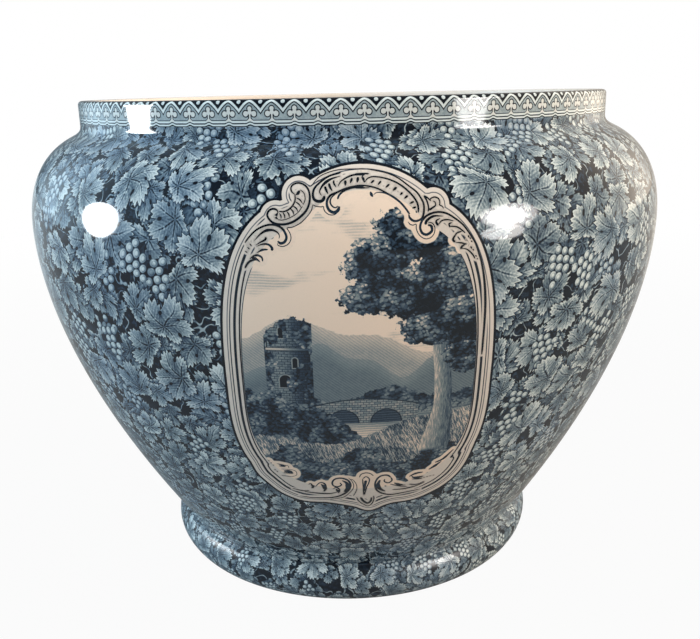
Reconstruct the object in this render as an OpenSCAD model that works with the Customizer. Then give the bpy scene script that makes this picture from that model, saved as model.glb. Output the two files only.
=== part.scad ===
// Footed jardiniere: a roll foot, a flaring wall, a full belly high up, a
// drawn-in shoulder and a straight collar. The clay is built up from luted
// sections, and the printed and glazed skins lie on it in separate sheets.
// Millimetres. The axis is Z, the foot rests on Z = 0, the front faces -Y.

/* [Belly] */
// Diameter at the belly, the widest place
belly_d = 380; // [370:1:396]
// Drop from the rim to the widest place
belly_drop = 69.5; // [63:0.5:77]

/* [Foot] */
// Diameter of the roll foot at its widest
foot_d = 241; // [236:1:250]
// Height of the roll's widest place
foot_z = 12.5; // [11:0.5:14]
// Radius of the roll's section
foot_roll_r = 15; // [14.5:0.5:17]
// Angle up the roll's section where the groove above it begins
foot_roll_deg = 37; // [30:1:44]
// Diameter of the groove between foot and wall
waist_d = 229.5; // [226:0.5:234]
// Height of that groove
waist_z = 24; // [23.5:0.5:27]
// How softly the groove is rounded
groove_pull = 1.4; // [0.8:0.2:2.4]
// How far the base slab's edge lies in from the wall's inner face
slab_in = 5; // [3:0.5:7]
// Width of the ledge in the foot that the base slab rests on
ledge_w = 5; // [3:0.5:7]
// Height of the underside above the table
recess_h = 8; // [6:0.5:10]
// Rounding of the foot's inner edge, as a chamfer
recess_chamfer = 1.5; // [0.5:0.5:3]
// Height of the bare clay left at the foot's bottom edge
foot_bare_h = 2.2; // [1:0.2:4]

/* [Wall] */
// Thickness of the wall with its skins
wall_t = 8; // [6.5:0.5:9]
// Thickness of the base slab with its skins
floor_t = 12; // [10:0.5:14]
// Slope of the wall as it leaves the groove
wall_deg = 57.5; // [55:0.5:60]
// Reach of the straight stretch above the groove
wall_low_pull = 29; // [24:1:34]
// Reach of the round stretch below the belly
wall_high_pull = 76.5; // [70:0.5:84]
// Length of the rounded corner between the wall and the floor inside
corner_run = 16; // [12:1:20]
// How softly that corner is rounded
corner_pull = 6; // [4:0.5:7]
// Drop from the rim to the luted joint below the belly
joint_drop = 89; // [75:1:103]

/* [Shoulder] */
// Reach of the round stretch above the belly
shoulder_pull = 32.5; // [28:0.5:37]
// Slope of the shoulder where it meets the neck, above level
shoulder_deg = 27; // [22:1:32]
// Reach of the flatter stretch below the neck
neck_pull = 10.5; // [8:0.5:14]
// Drop from the rim to where the shoulder turns up into the neck
neck_drop = 20.5; // [18:0.5:25]

/* [Collar] */
// Diameter of the collar outside
neck_d = 316; // [310:1:322]
// Rounding between shoulder and collar
neck_fillet = 6.6; // [5:0.2:8]
// Height of the whole pot
height = 285; // [281:0.5:290]
// Rounding of the lip outside
lip_out_r = 2.2; // [1.4:0.2:3]
// Rounding of the lip inside
lip_in_r = 3.4; // [2:0.2:4]
// Height of the arcade border below the lip
border_h = 12; // [10:0.5:13]

/* [Skins] */
// Thickness of the print and its glaze
skin_t = 0.4; // [0.3:0.05:0.6]
// Clearance between a skin and the clay
skin_gap = 0.05; // [0.03:0.01:0.1]
// Clearance of the slip-filled joint round the base slab
slip_gap = 0.2; // [0.1:0.05:0.4]

/* [Panel] */
// Width of a panel between the outer edges of its frame
panel_w = 123; // [112:1:130]
// Width of the frame at the panel's sides
frame_w = 8; // [6:0.5:10]
// Drop from the rim to the panel's widest place
panel_drop = 135; // [129:1:141]
// Drop from the rim to the frame's lower edge
panel_low_drop = 201; // [195:1:205]
// Drop from the rim to the frame's shoulders
panel_high_drop = 38; // [35:1:42]
// Width of the frame's bottom moulding
frame_low_w = 15; // [11:0.5:18]
// Width of the frame's top moulding
frame_high_w = 11; // [8:0.5:13]
// Squareness of the panel's lower half
panel_low_power = 2.6; // [2.2:0.1:3]
// Squareness of the panel's upper half
panel_high_power = 3.4; // [3:0.1:4]
// Radius of the crest over the panel
crest_r = 42; // [39:1:44]
// Drop from the rim to the crest's top
crest_drop = 27.5; // [25:0.5:30]
// Width of the crest's moulding
crest_w = 10; // [7:0.5:12]
// Radius of the scrolls at the panel's upper corners
scroll_r = 6.8; // [5.5:0.1:8]
// Radius of the shell under the panel
shell_r = 8.4; // [7:0.2:10]
// Drop from the rim to the shell's lowest point
shell_drop = 212.5; // [208:0.5:216]
// Place of the shell across the panel
shell_x = 3.5; // [-4:0.5:4]
// Place of the crest across the panel
crest_x = 2; // [-3:0.5:3]

/* [Hidden] */

clay = "#d9cdbf";
cream = "#e6dccf";
leaf_blue = "#7890a4";
pale_blue = "#9fb0bd";
line_blue = "#4d6178";
picture_blue = "#8d9ba3";

belly_r = belly_d / 2;
neck_r = neck_d / 2;
clay_off = skin_t + skin_gap;

// Heights above the table
floor_z = recess_h + floor_t;
belly_z = height - belly_drop;
belly_joint_z = height - joint_drop;
neck_z = height - neck_drop;
border_z = height - border_h;
panel_z = height - panel_drop;
panel_low_z = height - panel_low_drop;
panel_high_z = height - panel_high_drop;
crest_z = height - crest_drop;
shell_z = height - shell_drop;

// Steps along each stretch of the profile
ROLL_STEPS = 14;
WALL_STEPS = 22;
SHOULDER_STEPS = 14;
FILLET_STEPS = 5;
LIP_STEPS = 5;
PANEL_STEPS = 40;
// How far a cutter stands clear of what it cuts
CLEAR = 20;
// Share of a corner's radius that makes a cubic curve round it
ROUND = 0.55;
// Where the three scrolls sit, from the middle of the frame's shoulders
LOW_SCROLL = [-34.5, -10];
TOP_SCROLL = [-24.5, -1];
RIGHT_SCROLL = [32.5, -6.5];
// How much larger the top scroll is than the others
TOP_SCROLL_MORE = 0.5;

$fn = 96;

function unit(deg) = [cos(deg), sin(deg)];

// Points of an arc, moved towards the clay by off
function arc(centre, r, from, to, steps, off) =
    [for (i = [0:steps]) centre + (r - off) * unit(from + (to - from) * i / steps)];

// Place and direction on a cubic curve
function curve_at(c, t) =
    pow(1 - t, 3) * c[0] + 3 * pow(1 - t, 2) * t * c[1] + 3 * (1 - t) * t * t * c[2] + pow(t, 3) * c[3];
function curve_dir(c, t) =
    pow(1 - t, 2) * (c[1] - c[0]) + 2 * (1 - t) * t * (c[2] - c[1]) + t * t * (c[3] - c[2]);

// Points of a cubic curve after its first, moved to the left by off, where the clay is
function curve(c, steps, off) = [
    for (i = [1:steps])
    let (t = i / steps, d = curve_dir(c, t))
    curve_at(c, t) + off * [-d.y, d.x] / norm(d)
];

function reversed(pts) = [for (i = [len(pts) - 1:-1:0]) pts[i]];

// The four curves up the outside, each from its own two ends and slopes
roll_centre = [foot_d / 2 - foot_roll_r, foot_z];
roll_end = roll_centre + foot_roll_r * unit(foot_roll_deg);
wall_start = [waist_d / 2, waist_z];
shoulder_end = [neck_r + neck_fillet, neck_z];
collar_start = [neck_r, neck_z + neck_fillet];
fillet_pull = ROUND * neck_fillet;

groove_curve = [
    roll_end,
    roll_end + groove_pull * unit(foot_roll_deg + 90),
    wall_start - groove_pull * unit(wall_deg),
    wall_start,
];
wall_curve = [
    wall_start,
    wall_start + wall_low_pull * unit(wall_deg),
    [belly_r, belly_z - wall_high_pull],
    [belly_r, belly_z],
];
shoulder_curve = [
    [belly_r, belly_z],
    [belly_r, belly_z + shoulder_pull],
    shoulder_end - neck_pull * unit(180 - shoulder_deg),
    shoulder_end,
];
neck_curve = [
    shoulder_end,
    shoulder_end + fillet_pull * unit(180 - shoulder_deg),
    collar_start - [0, fillet_pull],
    collar_start,
];

// The corner inside, from the wall's inner face down to the floor
corner_start = wall_start + wall_t * unit(wall_deg + 90);
corner_end = [corner_start.x - corner_run, floor_z];
corner_curve = [
    corner_start,
    corner_start - corner_pull * unit(wall_deg),
    corner_end + [corner_pull, 0],
    corner_end,
];

// The base slab's seat and the recess follow the wall's inner face
ledge_r = corner_start.x - slab_in;
recess_r = ledge_r - ledge_w;

// Where the wall begins above the groove, at a depth of off
function wall_foot(off) = wall_start + off * unit(wall_deg + 90);

// From there up to the collar
function flank(off) = concat(
    curve(wall_curve, WALL_STEPS, off),
    curve(shoulder_curve, SHOULDER_STEPS, off),
    curve(neck_curve, FILLET_STEPS, off)
);

// The foot's outside, from the table up to the groove, at a depth of off
function foot_side(off) = concat(
    arc(roll_centre, foot_roll_r, -asin(foot_z / (foot_roll_r - off)), foot_roll_deg, ROLL_STEPS, off),
    curve(groove_curve, FILLET_STEPS, off)
);

// The whole outside, up to the top of the lip
function outer_face(off) = concat(
    foot_side(off),
    flank(off),
    arc([neck_r - lip_out_r, height - lip_out_r], lip_out_r, 0, 90, LIP_STEPS, off)
);

// The whole inside, from the top of the lip to the middle of the floor
function inner_face(off) = concat(
    arc([neck_r - wall_t + lip_in_r, height - lip_in_r], lip_in_r, 90, 180, LIP_STEPS, off),
    reversed(flank(wall_t - off)),
    [wall_foot(wall_t - off)],
    curve(corner_curve, FILLET_STEPS, off),
    [[0, floor_z - off]]
);

module clay_section() {
    polygon(concat(
        outer_face(clay_off),
        inner_face(clay_off),
        [[0, recess_h], [recess_r, recess_h], [recess_r, recess_chamfer], [recess_r + recess_chamfer, 0]]
    ));
}

// The part of a section between two heights and two radii
module between(z0, z1, r0 = 0, r1 = belly_r + CLEAR) {
    intersection() {
        children();
        translate([r0, z0]) square([r1 - r0, z1 - z0]);
    }
}

// A quarter of the pot round one of its four sides; 0 is the front
module quarter(turns) {
    reach = belly_r + CLEAR;
    intersection() {
        children();
        rotate([0, 0, 90 * turns]) linear_extrude(height + CLEAR)
            polygon([[0, 0], [-reach, -reach], [reach, -reach]]);
    }
}

// Half of an egg outline: a rounded square of the given powers above and below the middle
function egg(half_w, low, high) = [
    for (i = [0:2 * PANEL_STEPS - 1])
    let (
        a = 180 * i / PANEL_STEPS,
        up = sin(a) >= 0,
        power = 2 / (up ? panel_high_power : panel_low_power),
        reach = up ? high : low
    )
    [half_w * sign(cos(a)) * pow(abs(cos(a)), power), panel_z + reach * sign(sin(a)) * pow(abs(sin(a)), power)]
];

// The frame's outer edge, seen from the front, with its crest, scrolls and shell
module panel_outline() {
    polygon(egg(panel_w / 2, panel_z - panel_low_z, panel_high_z - panel_z));
    translate([crest_x, crest_z - crest_r]) circle(crest_r);
    translate([0, panel_high_z] + LOW_SCROLL) circle(scroll_r);
    translate([0, panel_high_z] + TOP_SCROLL) circle(scroll_r + TOP_SCROLL_MORE);
    translate([0, panel_high_z] + RIGHT_SCROLL) circle(scroll_r);
    translate([shell_x, shell_z + shell_r]) circle(shell_r);
}

// The frame's inner edge, round the picture
module picture_outline() {
    polygon(egg(
        panel_w / 2 - frame_w,
        panel_z - panel_low_z - frame_low_w,
        panel_high_z - panel_z - frame_high_w
    ));
    translate([crest_x, crest_z - crest_r]) circle(crest_r - crest_w);
}

// A straight cutter through one side of the pot; the back's is the front's turned half round
module through_side(half_turns) {
    rotate([0, 0, 180 * half_turns]) rotate([90, 0, 0]) linear_extrude(belly_r + CLEAR) children();
}

module foot_ring() {
    color(clay) rotate_extrude() {
        between(0, recess_h, recess_r) clay_section();
        between(recess_h, waist_z, ledge_r) clay_section();
    }
}

module floor_slab() {
    color(clay) rotate_extrude() between(recess_h, waist_z, 0, ledge_r - slip_gap) clay_section();
}

module lower_wall() {
    color(clay) rotate_extrude() between(waist_z, belly_joint_z) clay_section();
}

module shoulder_wall() {
    color(clay) rotate_extrude() between(belly_joint_z, neck_z) clay_section();
}

module neck_collar() {
    color(clay) rotate_extrude() between(neck_z, height) clay_section();
}

// The glaze under the base
module base_glaze() {
    color(cream) translate([0, 0, recess_h - clay_off]) cylinder(h = skin_t, r = recess_r - recess_chamfer);
}

// The cream glaze from the top of the lip down the inside and over the floor
module inner_glaze() {
    lip_edge = neck_r - lip_out_r;
    color(cream) rotate_extrude() polygon(concat(
        [[lip_edge, height]],
        inner_face(0),
        reversed(inner_face(skin_t)),
        [[lip_edge, height - skin_t]]
    ));
}

// The skin up the outside between two heights
module outer_skin(z0, z1) {
    rotate_extrude() between(z0, z1) polygon(concat(outer_face(0), reversed(outer_face(skin_t))));
}

module foot_print() {
    color(pale_blue) outer_skin(foot_bare_h, waist_z);
}

module border_print() {
    color(line_blue) outer_skin(border_z, height);
}

module vine_sheet(turns) {
    color(leaf_blue) quarter(turns) outer_skin(waist_z, border_z);
}

module vine_print_front() {
    color(leaf_blue) difference() {
        vine_sheet(0);
        through_side(0) panel_outline();
    }
}

module vine_print_right() {
    vine_sheet(1);
}

module vine_print_back() {
    color(leaf_blue) difference() {
        vine_sheet(2);
        through_side(1) panel_outline();
    }
}

module vine_print_left() {
    vine_sheet(3);
}

module frame_print(half_turns) {
    color(cream) intersection() {
        outer_skin(waist_z, border_z);
        through_side(half_turns) difference() {
            panel_outline();
            picture_outline();
        }
    }
}

module picture_print(half_turns) {
    color(picture_blue) intersection() {
        outer_skin(waist_z, border_z);
        through_side(half_turns) picture_outline();
    }
}

module front_frame_print() {
    frame_print(0);
}

module front_picture_print() {
    picture_print(0);
}

module back_frame_print() {
    frame_print(1);
}

module back_picture_print() {
    picture_print(1);
}

foot_ring();
floor_slab();
lower_wall();
shoulder_wall();
neck_collar();
base_glaze();
inner_glaze();
foot_print();
vine_print_front();
vine_print_right();
vine_print_back();
vine_print_left();
border_print();
front_frame_print();
front_picture_print();
back_frame_print();
back_picture_print();
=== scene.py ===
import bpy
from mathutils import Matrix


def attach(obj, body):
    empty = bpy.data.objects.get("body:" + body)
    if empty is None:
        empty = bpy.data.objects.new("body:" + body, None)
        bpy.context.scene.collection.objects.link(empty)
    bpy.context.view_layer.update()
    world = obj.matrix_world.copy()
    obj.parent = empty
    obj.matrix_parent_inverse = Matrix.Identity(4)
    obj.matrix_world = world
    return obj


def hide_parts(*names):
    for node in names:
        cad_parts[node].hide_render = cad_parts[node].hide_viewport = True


bl_info = {
    "name": "Footed Jardiniere",
    "version": (1, 0, 0),
    "blender": (4, 5, 0),
    "location": "View3D > Sidebar > Jardiniere",
    "description": "Builds the printed and glazed skins of a footed jardiniere over its clay body",
    "category": "Add Mesh",
}

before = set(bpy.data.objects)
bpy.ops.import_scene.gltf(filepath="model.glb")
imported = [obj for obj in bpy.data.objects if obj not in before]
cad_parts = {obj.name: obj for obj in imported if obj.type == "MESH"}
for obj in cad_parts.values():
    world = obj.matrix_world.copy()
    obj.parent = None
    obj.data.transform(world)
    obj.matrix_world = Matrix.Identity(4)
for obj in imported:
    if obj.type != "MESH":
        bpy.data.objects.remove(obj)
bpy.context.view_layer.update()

import math
from functools import partialmethod

import bmesh
import bpy
import numpy as np
from bpy.props import FloatProperty, FloatVectorProperty, IntProperty, PointerProperty
from mathutils import Matrix, Vector
from mathutils.geometry import delaunay_2d_cdt
from mathutils.kdtree import KDTree

MM = 0.001
FULL_TURN = 2 * math.pi
# The print is drawn on a cylinder of this radius, in millimetres, and follows the pot from there
PRINT_R = 190.0
GIRTH = FULL_TURN * PRINT_R
# Share of a corner's radius that makes a cubic curve round it
ROUND = 0.55
# Below and above these heights, in millimetres, the skins have finer steps
FOOT_TOP, NECK_FOOT = 27, 258
# What "panel_away" holds on a sheet without a panel, in millimetres
NO_PANEL = 99.0


def hex_colour(code):
    """The linear colour of an sRGB hex code."""
    parts = [int(code[i:i + 2], 16) / 255 for i in (0, 2, 4)]
    return tuple(p / 12.92 if p <= 0.04045 else ((p + 0.055) / 1.055) ** 2.4 for p in parts)


# ---------------------------------------------------------------- sizes and colours

def length(name, description, default):
    return FloatProperty(name=name, description=description, default=default, unit="LENGTH", precision=5)


def colour(name, description, code):
    return FloatVectorProperty(
        name=name, description=description, default=hex_colour(code), subtype="COLOR", size=3, min=0, max=1)


class PotSizes(bpy.types.PropertyGroup):
    belly_d: length("Belly diameter", "Diameter at the widest place", 0.380)
    belly_z: length("Belly height", "Height of the widest place", 0.2155)
    foot_d: length("Foot diameter", "Diameter of the roll foot", 0.241)
    foot_z: length("Foot roll height", "Height of the roll's widest place", 0.0125)
    roll_r: length("Foot roll radius", "Radius of the roll's section", 0.015)
    waist_d: length("Groove diameter", "Diameter of the groove above the foot", 0.2295)
    waist_z: length("Groove height", "Height of the groove above the foot", 0.024)
    neck_d: length("Collar diameter", "Diameter of the collar outside", 0.316)
    neck_z: length("Neck height", "Height where the shoulder turns up into the neck", 0.2645)
    neck_fillet: length("Neck rounding", "Rounding between shoulder and collar", 0.0066)
    height: length("Height", "Height of the whole pot", 0.285)
    lip_out_r: length("Outer lip rounding", "Rounding of the lip outside", 0.0022)
    lip_in_r: length("Inner lip rounding", "Rounding of the lip inside", 0.0034)
    wall_t: length("Wall thickness", "Thickness of the wall with its skins", 0.008)
    floor_z: length("Floor height", "Height of the floor inside", 0.020)
    skin_t: length("Skin thickness", "Thickness of the print and its glaze", 0.0004)
    bare_h: length("Bare foot", "Height of the bare clay at the foot's bottom edge", 0.0022)
    border_h: length("Border height", "Height of the arcade border below the lip", 0.012)
    berry_d: length("Berry diameter", "Diameter of the grapes in the print", 0.0045)
    arches: IntProperty(name="Arches", description="Number of arches round the border", default=96, min=12)


class PanelSizes(bpy.types.PropertyGroup):
    width: length("Width", "Width of a panel between the outer edges of its frame", 0.123)
    middle_z: length("Middle", "Height of the panel's widest place", 0.150)
    low_z: length("Lower edge", "Height of the frame's lower edge", 0.084)
    high_z: length("Shoulders", "Height of the frame's shoulders", 0.247)
    side_w: length("Side moulding", "Width of the frame at its sides", 0.008)
    low_w: length("Bottom moulding", "Width of the frame at its bottom", 0.0095)
    high_w: length("Top moulding", "Width of the frame at its top", 0.011)
    crest_r: length("Crest radius", "Radius of the crest over the panel", 0.042)
    crest_w: length("Crest moulding", "Width of the crest's moulding", 0.010)
    crest_x: length("Crest place", "Place of the crest across the panel", 0.002)
    crest_z: length("Crest top", "Height of the crest's top", 0.2575)
    scroll_r: length("Scroll radius", "Radius of the scrolls at the upper corners", 0.0068)
    shell_x: length("Shell place", "Place of the shell across the panel", 0.0043)
    shell_z: length("Shell foot", "Height of the shell's lowest point", 0.0761)
    line_weight: FloatProperty(
        name="Line weight", description="How bold the scrolls are drawn", default=1.25, min=0.5)


class GlazeColours(bpy.types.PropertyGroup):
    ground: colour("Ground", "The darkest ink of the print", "0f1620")
    flow: colour("Flown ink", "The tint where the ink has run into the glaze", "5f7fa2")
    deep: colour("Deep ink", "Shaded leaves and hatching", "33465a")
    leaf: colour("Leaf ink", "The middle tone of the leaves", "75868f")
    pale: colour("Pale ink", "The lit edges of leaves and berries", "ced7d8")
    line: colour("Line ink", "The dark lines of frame and border", "161d25")
    haze: colour("Thin ink", "The middle tone of the landscapes", "7b888c")
    paper: colour("Panel glaze", "The cream glaze of the panels", "ecd5c2")
    cream: colour("Inner glaze", "The cream glaze inside", "dfd4cb")
    clay: colour("Fired clay", "The bare fired clay", "d9cdbf")


class StageSettings(bpy.types.PropertyGroup):
    ambient: FloatProperty(name="Ambient", description="Strength of the soft light all round", default=0.92, min=0)
    window: FloatProperty(name="Window", description="Brightness of the windows", default=22.0, min=0)
    floor: colour("Floor", "Colour of the floor", "7c7c7c")


def sizes():
    return bpy.context.scene.pot_sizes


def panel():
    return bpy.context.scene.pot_panel


def colours():
    return bpy.context.scene.pot_colours


# ---------------------------------------------------------------- the pot's profile

def unit(deg):
    return np.array([math.cos(math.radians(deg)), math.sin(math.radians(deg))])


def cubic(ends, steps):
    """Points of a cubic curve after its first."""
    a, b, c, d = (np.array(p, float) for p in ends)
    t = np.linspace(0, 1, steps + 1)[1:, None]
    return (1 - t) ** 3 * a + 3 * (1 - t) ** 2 * t * b + 3 * (1 - t) * t * t * c + t ** 3 * d


def arc(centre, r, start, stop, steps):
    a = np.radians(np.linspace(start, stop, steps + 1))
    return np.array(centre) + r * np.c_[np.cos(a), np.sin(a)]


def left_of(line):
    """The unit vectors that point to a line's left, at each of its points."""
    step = np.gradient(line, axis=0)
    step /= np.maximum(np.linalg.norm(step, axis=1), 1e-9)[:, None]
    return np.c_[-step[:, 1], step[:, 0]]


class Profile:
    """The outside and the inside of the pot as closely spaced points, in millimetres."""

    def __init__(self, s):
        k = 1 / MM
        # Where the roll ends, and how steep the wall leaves the groove and the shoulder meets the neck, in degrees
        roll_deg, wall_deg, shoulder_deg = 37, 57.5, 180 - 27
        # How far the curves' handles reach, in millimetres
        groove_pull, wall_pull, belly_down, belly_up, shoulder_pull = 1.4, 29, (0, 76.5), (0, 32.5), 10.5
        roll = np.array([s.foot_d / 2 - s.roll_r, s.foot_z]) * k
        roll_r = s.roll_r * k
        roll_end = roll + roll_r * unit(roll_deg)
        waist = np.array([s.waist_d / 2, s.waist_z]) * k
        belly = np.array([s.belly_d / 2, s.belly_z]) * k
        neck_r, fillet, top = s.neck_d / 2 * k, s.neck_fillet * k, s.height * k
        shoulder = np.array([neck_r + fillet, s.neck_z * k])
        collar = np.array([neck_r, s.neck_z * k + fillet])
        lip_out, lip_in, wall = s.lip_out_r * k, s.lip_in_r * k, s.wall_t * k
        pull = ROUND * fillet
        flank = np.vstack([
            cubic([waist, waist + wall_pull * unit(wall_deg), belly - belly_down, belly], 320),
            cubic([belly, belly + belly_up, shoulder - shoulder_pull * unit(shoulder_deg), shoulder], 180),
            cubic([shoulder, shoulder + pull * unit(shoulder_deg), collar - (0, pull), collar], 40),
        ])
        self.outer = np.vstack([
            arc(roll, roll_r, -math.degrees(math.asin(roll[1] / roll_r)), roll_deg, 90),
            cubic([roll_end, roll_end + groove_pull * unit(roll_deg + 90), waist - groove_pull * unit(wall_deg),
                   waist], 24),
            flank,
            [[neck_r, z] for z in np.linspace(collar[1], top - lip_out, 24)[1:-1]],
            arc([neck_r - lip_out, top - lip_out], lip_out, 0, 90, 24),
        ])
        self.out = -left_of(self.outer)
        self.r, self.z = self.outer.T
        run = np.hypot(*np.diff(self.outer, axis=0).T)
        mean_r = (self.r[1:] + self.r[:-1]) / 2
        self.along = np.r_[0, np.cumsum(run)]
        self.rise = np.r_[0, np.cumsum(run / mean_r)] * PRINT_R

        # Inside: over the lip, down the wall, round the corner and over the floor
        corner_w, corner_pull = 16, 6
        inside = flank + wall * left_of(flank)
        corner = waist + wall * unit(wall_deg + 90)
        end = np.array([corner[0] - corner_w, s.floor_z * k])
        self.inner = np.vstack([
            [[neck_r - lip_out, top]],
            arc([neck_r - wall + lip_in, top - lip_in], lip_in, 90, 180, 10),
            inside[::-1][::6],
            [corner],
            cubic([corner, corner - corner_pull * unit(wall_deg), end + (corner_pull, 0), end], 12),
        ])

    def radius(self, z):
        return np.interp(z, self.z, self.r)

    def normal(self, z):
        n = np.c_[np.interp(z, self.z, self.out[:, 0]), np.interp(z, self.z, self.out[:, 1])]
        return n / np.linalg.norm(n, axis=1)[:, None]

    def section(self, z0, z1, coarse, fine):
        """A closed section of the skin between two heights, with fine steps at the foot and the neck."""
        a0, a1 = np.interp([z0, z1], self.z, self.along)
        marks, a = [a0], a0
        while a < a1:
            z = np.interp(a, self.along, self.z)
            a += fine if z < FOOT_TOP or z > NECK_FOOT else coarse
            marks.append(min(a, a1))
        if marks[-1] - marks[-2] < 0.3 * fine:
            marks.pop(-2)
        z = np.interp(marks, self.along, self.z)
        out = np.c_[np.interp(marks, self.along, self.r), z]
        back = out - self.normal(z) * sizes().skin_t / MM
        return np.vstack([out, back[::-1]])


# ---------------------------------------------------------------- meshes

def add_object(name, data):
    """Puts a mesh, a lamp or a camera in the scene."""
    made = bpy.data.objects.new(name, data)
    bpy.context.scene.collection.objects.link(made)
    return made


def new_piece(name, bm, material=None):
    """Makes a piece from a closed bmesh, with its faces outwards."""
    if bm.calc_volume(signed=True) < 0:
        bmesh.ops.reverse_faces(bm, faces=bm.faces[:])
    mesh = bpy.data.meshes.new(name)
    bm.to_mesh(mesh)
    bm.free()
    if material:
        mesh.materials.append(material)
    mesh.polygons.foreach_set("use_smooth", [True] * len(mesh.polygons))
    return add_object(name, mesh)


def turned(name, section, start_deg, sweep_deg, steps, material):
    """A closed section turned about the pot's axis; 0 degrees is the front."""
    a = math.radians(start_deg)
    bm = bmesh.new()
    ring = [bm.verts.new((r * MM * math.sin(a), -r * MM * math.cos(a), z * MM)) for r, z in section]
    full = sweep_deg >= 360
    if full:
        for i, v in enumerate(ring):
            if i or section[0][0] > 0:      # a section that starts on the axis is closed by its pole
                bm.edges.new((ring[i - 1], v))
    else:
        bm.faces.new(ring)
    bmesh.ops.spin(
        bm, geom=bm.verts[:] + bm.edges[:] + bm.faces[:], cent=(0, 0, 0), axis=(0, 0, 1), dvec=(0, 0, 0),
        angle=math.radians(sweep_deg), steps=steps, use_merge=full, use_normal_flip=False, use_duplicate=False)
    bmesh.ops.remove_doubles(bm, verts=bm.verts[:], dist=1e-7)
    bmesh.ops.recalc_face_normals(bm, faces=bm.faces[:])
    return new_piece(name, bm, material)


def points_of(mesh):
    co = np.empty(len(mesh.vertices) * 3, np.float32)
    mesh.vertices.foreach_get("co", co)
    return co.reshape(-1, 3).astype(float)


def put_attribute(mesh, name, values):
    """Keeps one value, or one for each vertex, in an attribute of the mesh."""
    layer = mesh.attributes.get(name) or mesh.attributes.new(name, "FLOAT", "POINT")
    layer.data.foreach_set("value", np.full(len(mesh.vertices), values, np.float32))


def shade_by_profile(mesh, profile):
    """Gives the two faces of a skin the normals of the pot's own profile, and leaves its cut edges flat."""
    co = points_of(mesh) / MM
    r = np.maximum(np.hypot(co[:, 0], co[:, 1]), 1e-6)
    n = profile.normal(co[:, 2])
    n = np.c_[n[:, 0] * co[:, 0] / r, n[:, 0] * co[:, 1] / r, n[:, 1]]
    corner = np.empty(len(mesh.loops), np.int32)
    mesh.loops.foreach_get("vertex_index", corner)
    faces = np.empty(len(mesh.polygons) * 3, np.float32)
    mesh.polygon_normals.foreach_get("vector", faces)
    corners = np.empty(len(mesh.polygons), np.int32)
    mesh.polygons.foreach_get("loop_total", corners)
    flat = np.repeat(faces.reshape(-1, 3), corners, axis=0)
    curved = n[corner]
    side = (flat * curved).sum(1)
    alike = 0.6      # a face that turns further from the profile than this cosine is a cut edge
    out = np.where((side > alike)[:, None], curved, np.where((side < -alike)[:, None], -curved, flat))
    mesh.normals_split_custom_set(out.tolist())


def finish_skin(piece, profile, node):
    put_attribute(piece.data, "rise", np.interp(points_of(piece.data)[:, 2] / MM, profile.z, profile.rise))
    shade_by_profile(piece.data, profile)
    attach(piece, "root")
    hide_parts(node)


def prism(name, outline, back):
    """A straight cutter through the front or the back, with its outline in millimetres across and up."""
    side, reach = 1 if back else -1, 0.25
    bm = bmesh.new()
    face = bm.faces.new([bm.verts.new((-side * x * MM, 0, z * MM)) for x, z in outline])
    out = bmesh.ops.extrude_face_region(bm, geom=[face])
    moved = [g for g in out["geom"] if isinstance(g, bmesh.types.BMVert)]
    bmesh.ops.translate(bm, verts=moved, vec=(0, side * reach, 0))
    bmesh.ops.recalc_face_normals(bm, faces=bm.faces[:])
    return new_piece(name, bm)


def cut_away(piece, cutters):
    """Cuts the cutters out of a piece and removes them."""
    for cutter in cutters:
        cut = piece.modifiers.new("Cut", "BOOLEAN")
        cut.operation = "DIFFERENCE"
        cut.solver = "EXACT"
        cut.object = cutter
    bpy.context.view_layer.update()
    done = bpy.data.meshes.new_from_object(piece.evaluated_get(bpy.context.evaluated_depsgraph_get()))
    if len(done.polygons) == 0:
        raise RuntimeError(f"cutting {piece.name} left nothing")
    old = piece.data
    piece.modifiers.clear()
    piece.data = done
    done.name = piece.name
    bpy.data.meshes.remove(old)
    for cutter in cutters:
        shape = cutter.data
        bpy.data.objects.remove(cutter)
        bpy.data.meshes.remove(shape)


# ---------------------------------------------------------------- the panel's outlines

def around(steps):
    """Angles all the way round, in radians."""
    return [FULL_TURN * i / steps for i in range(steps)]


def egg(half_w, low, high):
    """A rounded square with its own powers above and below the panel's middle, in millimetres."""
    z0 = panel().middle_z / MM
    above, below = 2 / 3.4, 2 / 2.6
    pts = []
    for a in around(160):
        c, s = math.cos(a), math.sin(a)
        power, reach = (above, high) if s >= 0 else (below, low)
        pts.append((
            half_w * math.copysign(abs(c) ** power, c),
            z0 + reach * math.copysign(abs(s) ** power, s)))
    return pts


def circle(x, z, r):
    return [(x + r * math.cos(a), z + r * math.sin(a)) for a in around(96)]


def smooth_line(pts, step):
    """Points along a smooth curve through some given ones."""
    pts = np.array(pts, float)
    ext = np.vstack([2 * pts[0] - pts[1], pts, 2 * pts[-1] - pts[-2]])
    fine = []
    for a, b, c, d in zip(ext, ext[1:], ext[2:], ext[3:]):
        n = max(3, int(np.hypot(*(c - b)) / step))
        for t in np.arange(n) / n:
            fine.append(0.5 * (2 * b + (c - a) * t + (2 * a - 5 * b + 4 * c - d) * t * t
                               + (3 * b - a - 3 * c + d) * t ** 3))
    return np.vstack([fine, pts[-1:]])


def rounds():
    """The crest and the three scrolls as circles: place across, height and radius."""
    p = panel()
    high, r = p.high_z / MM, p.scroll_r / MM
    return [
        (p.crest_x / MM, (p.crest_z - p.crest_r) / MM, p.crest_r / MM),
        (-34.5, high - 10, r), (-24.5, high - 1, r + 0.5), (32.5, high - 6.5, r),
    ]


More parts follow.
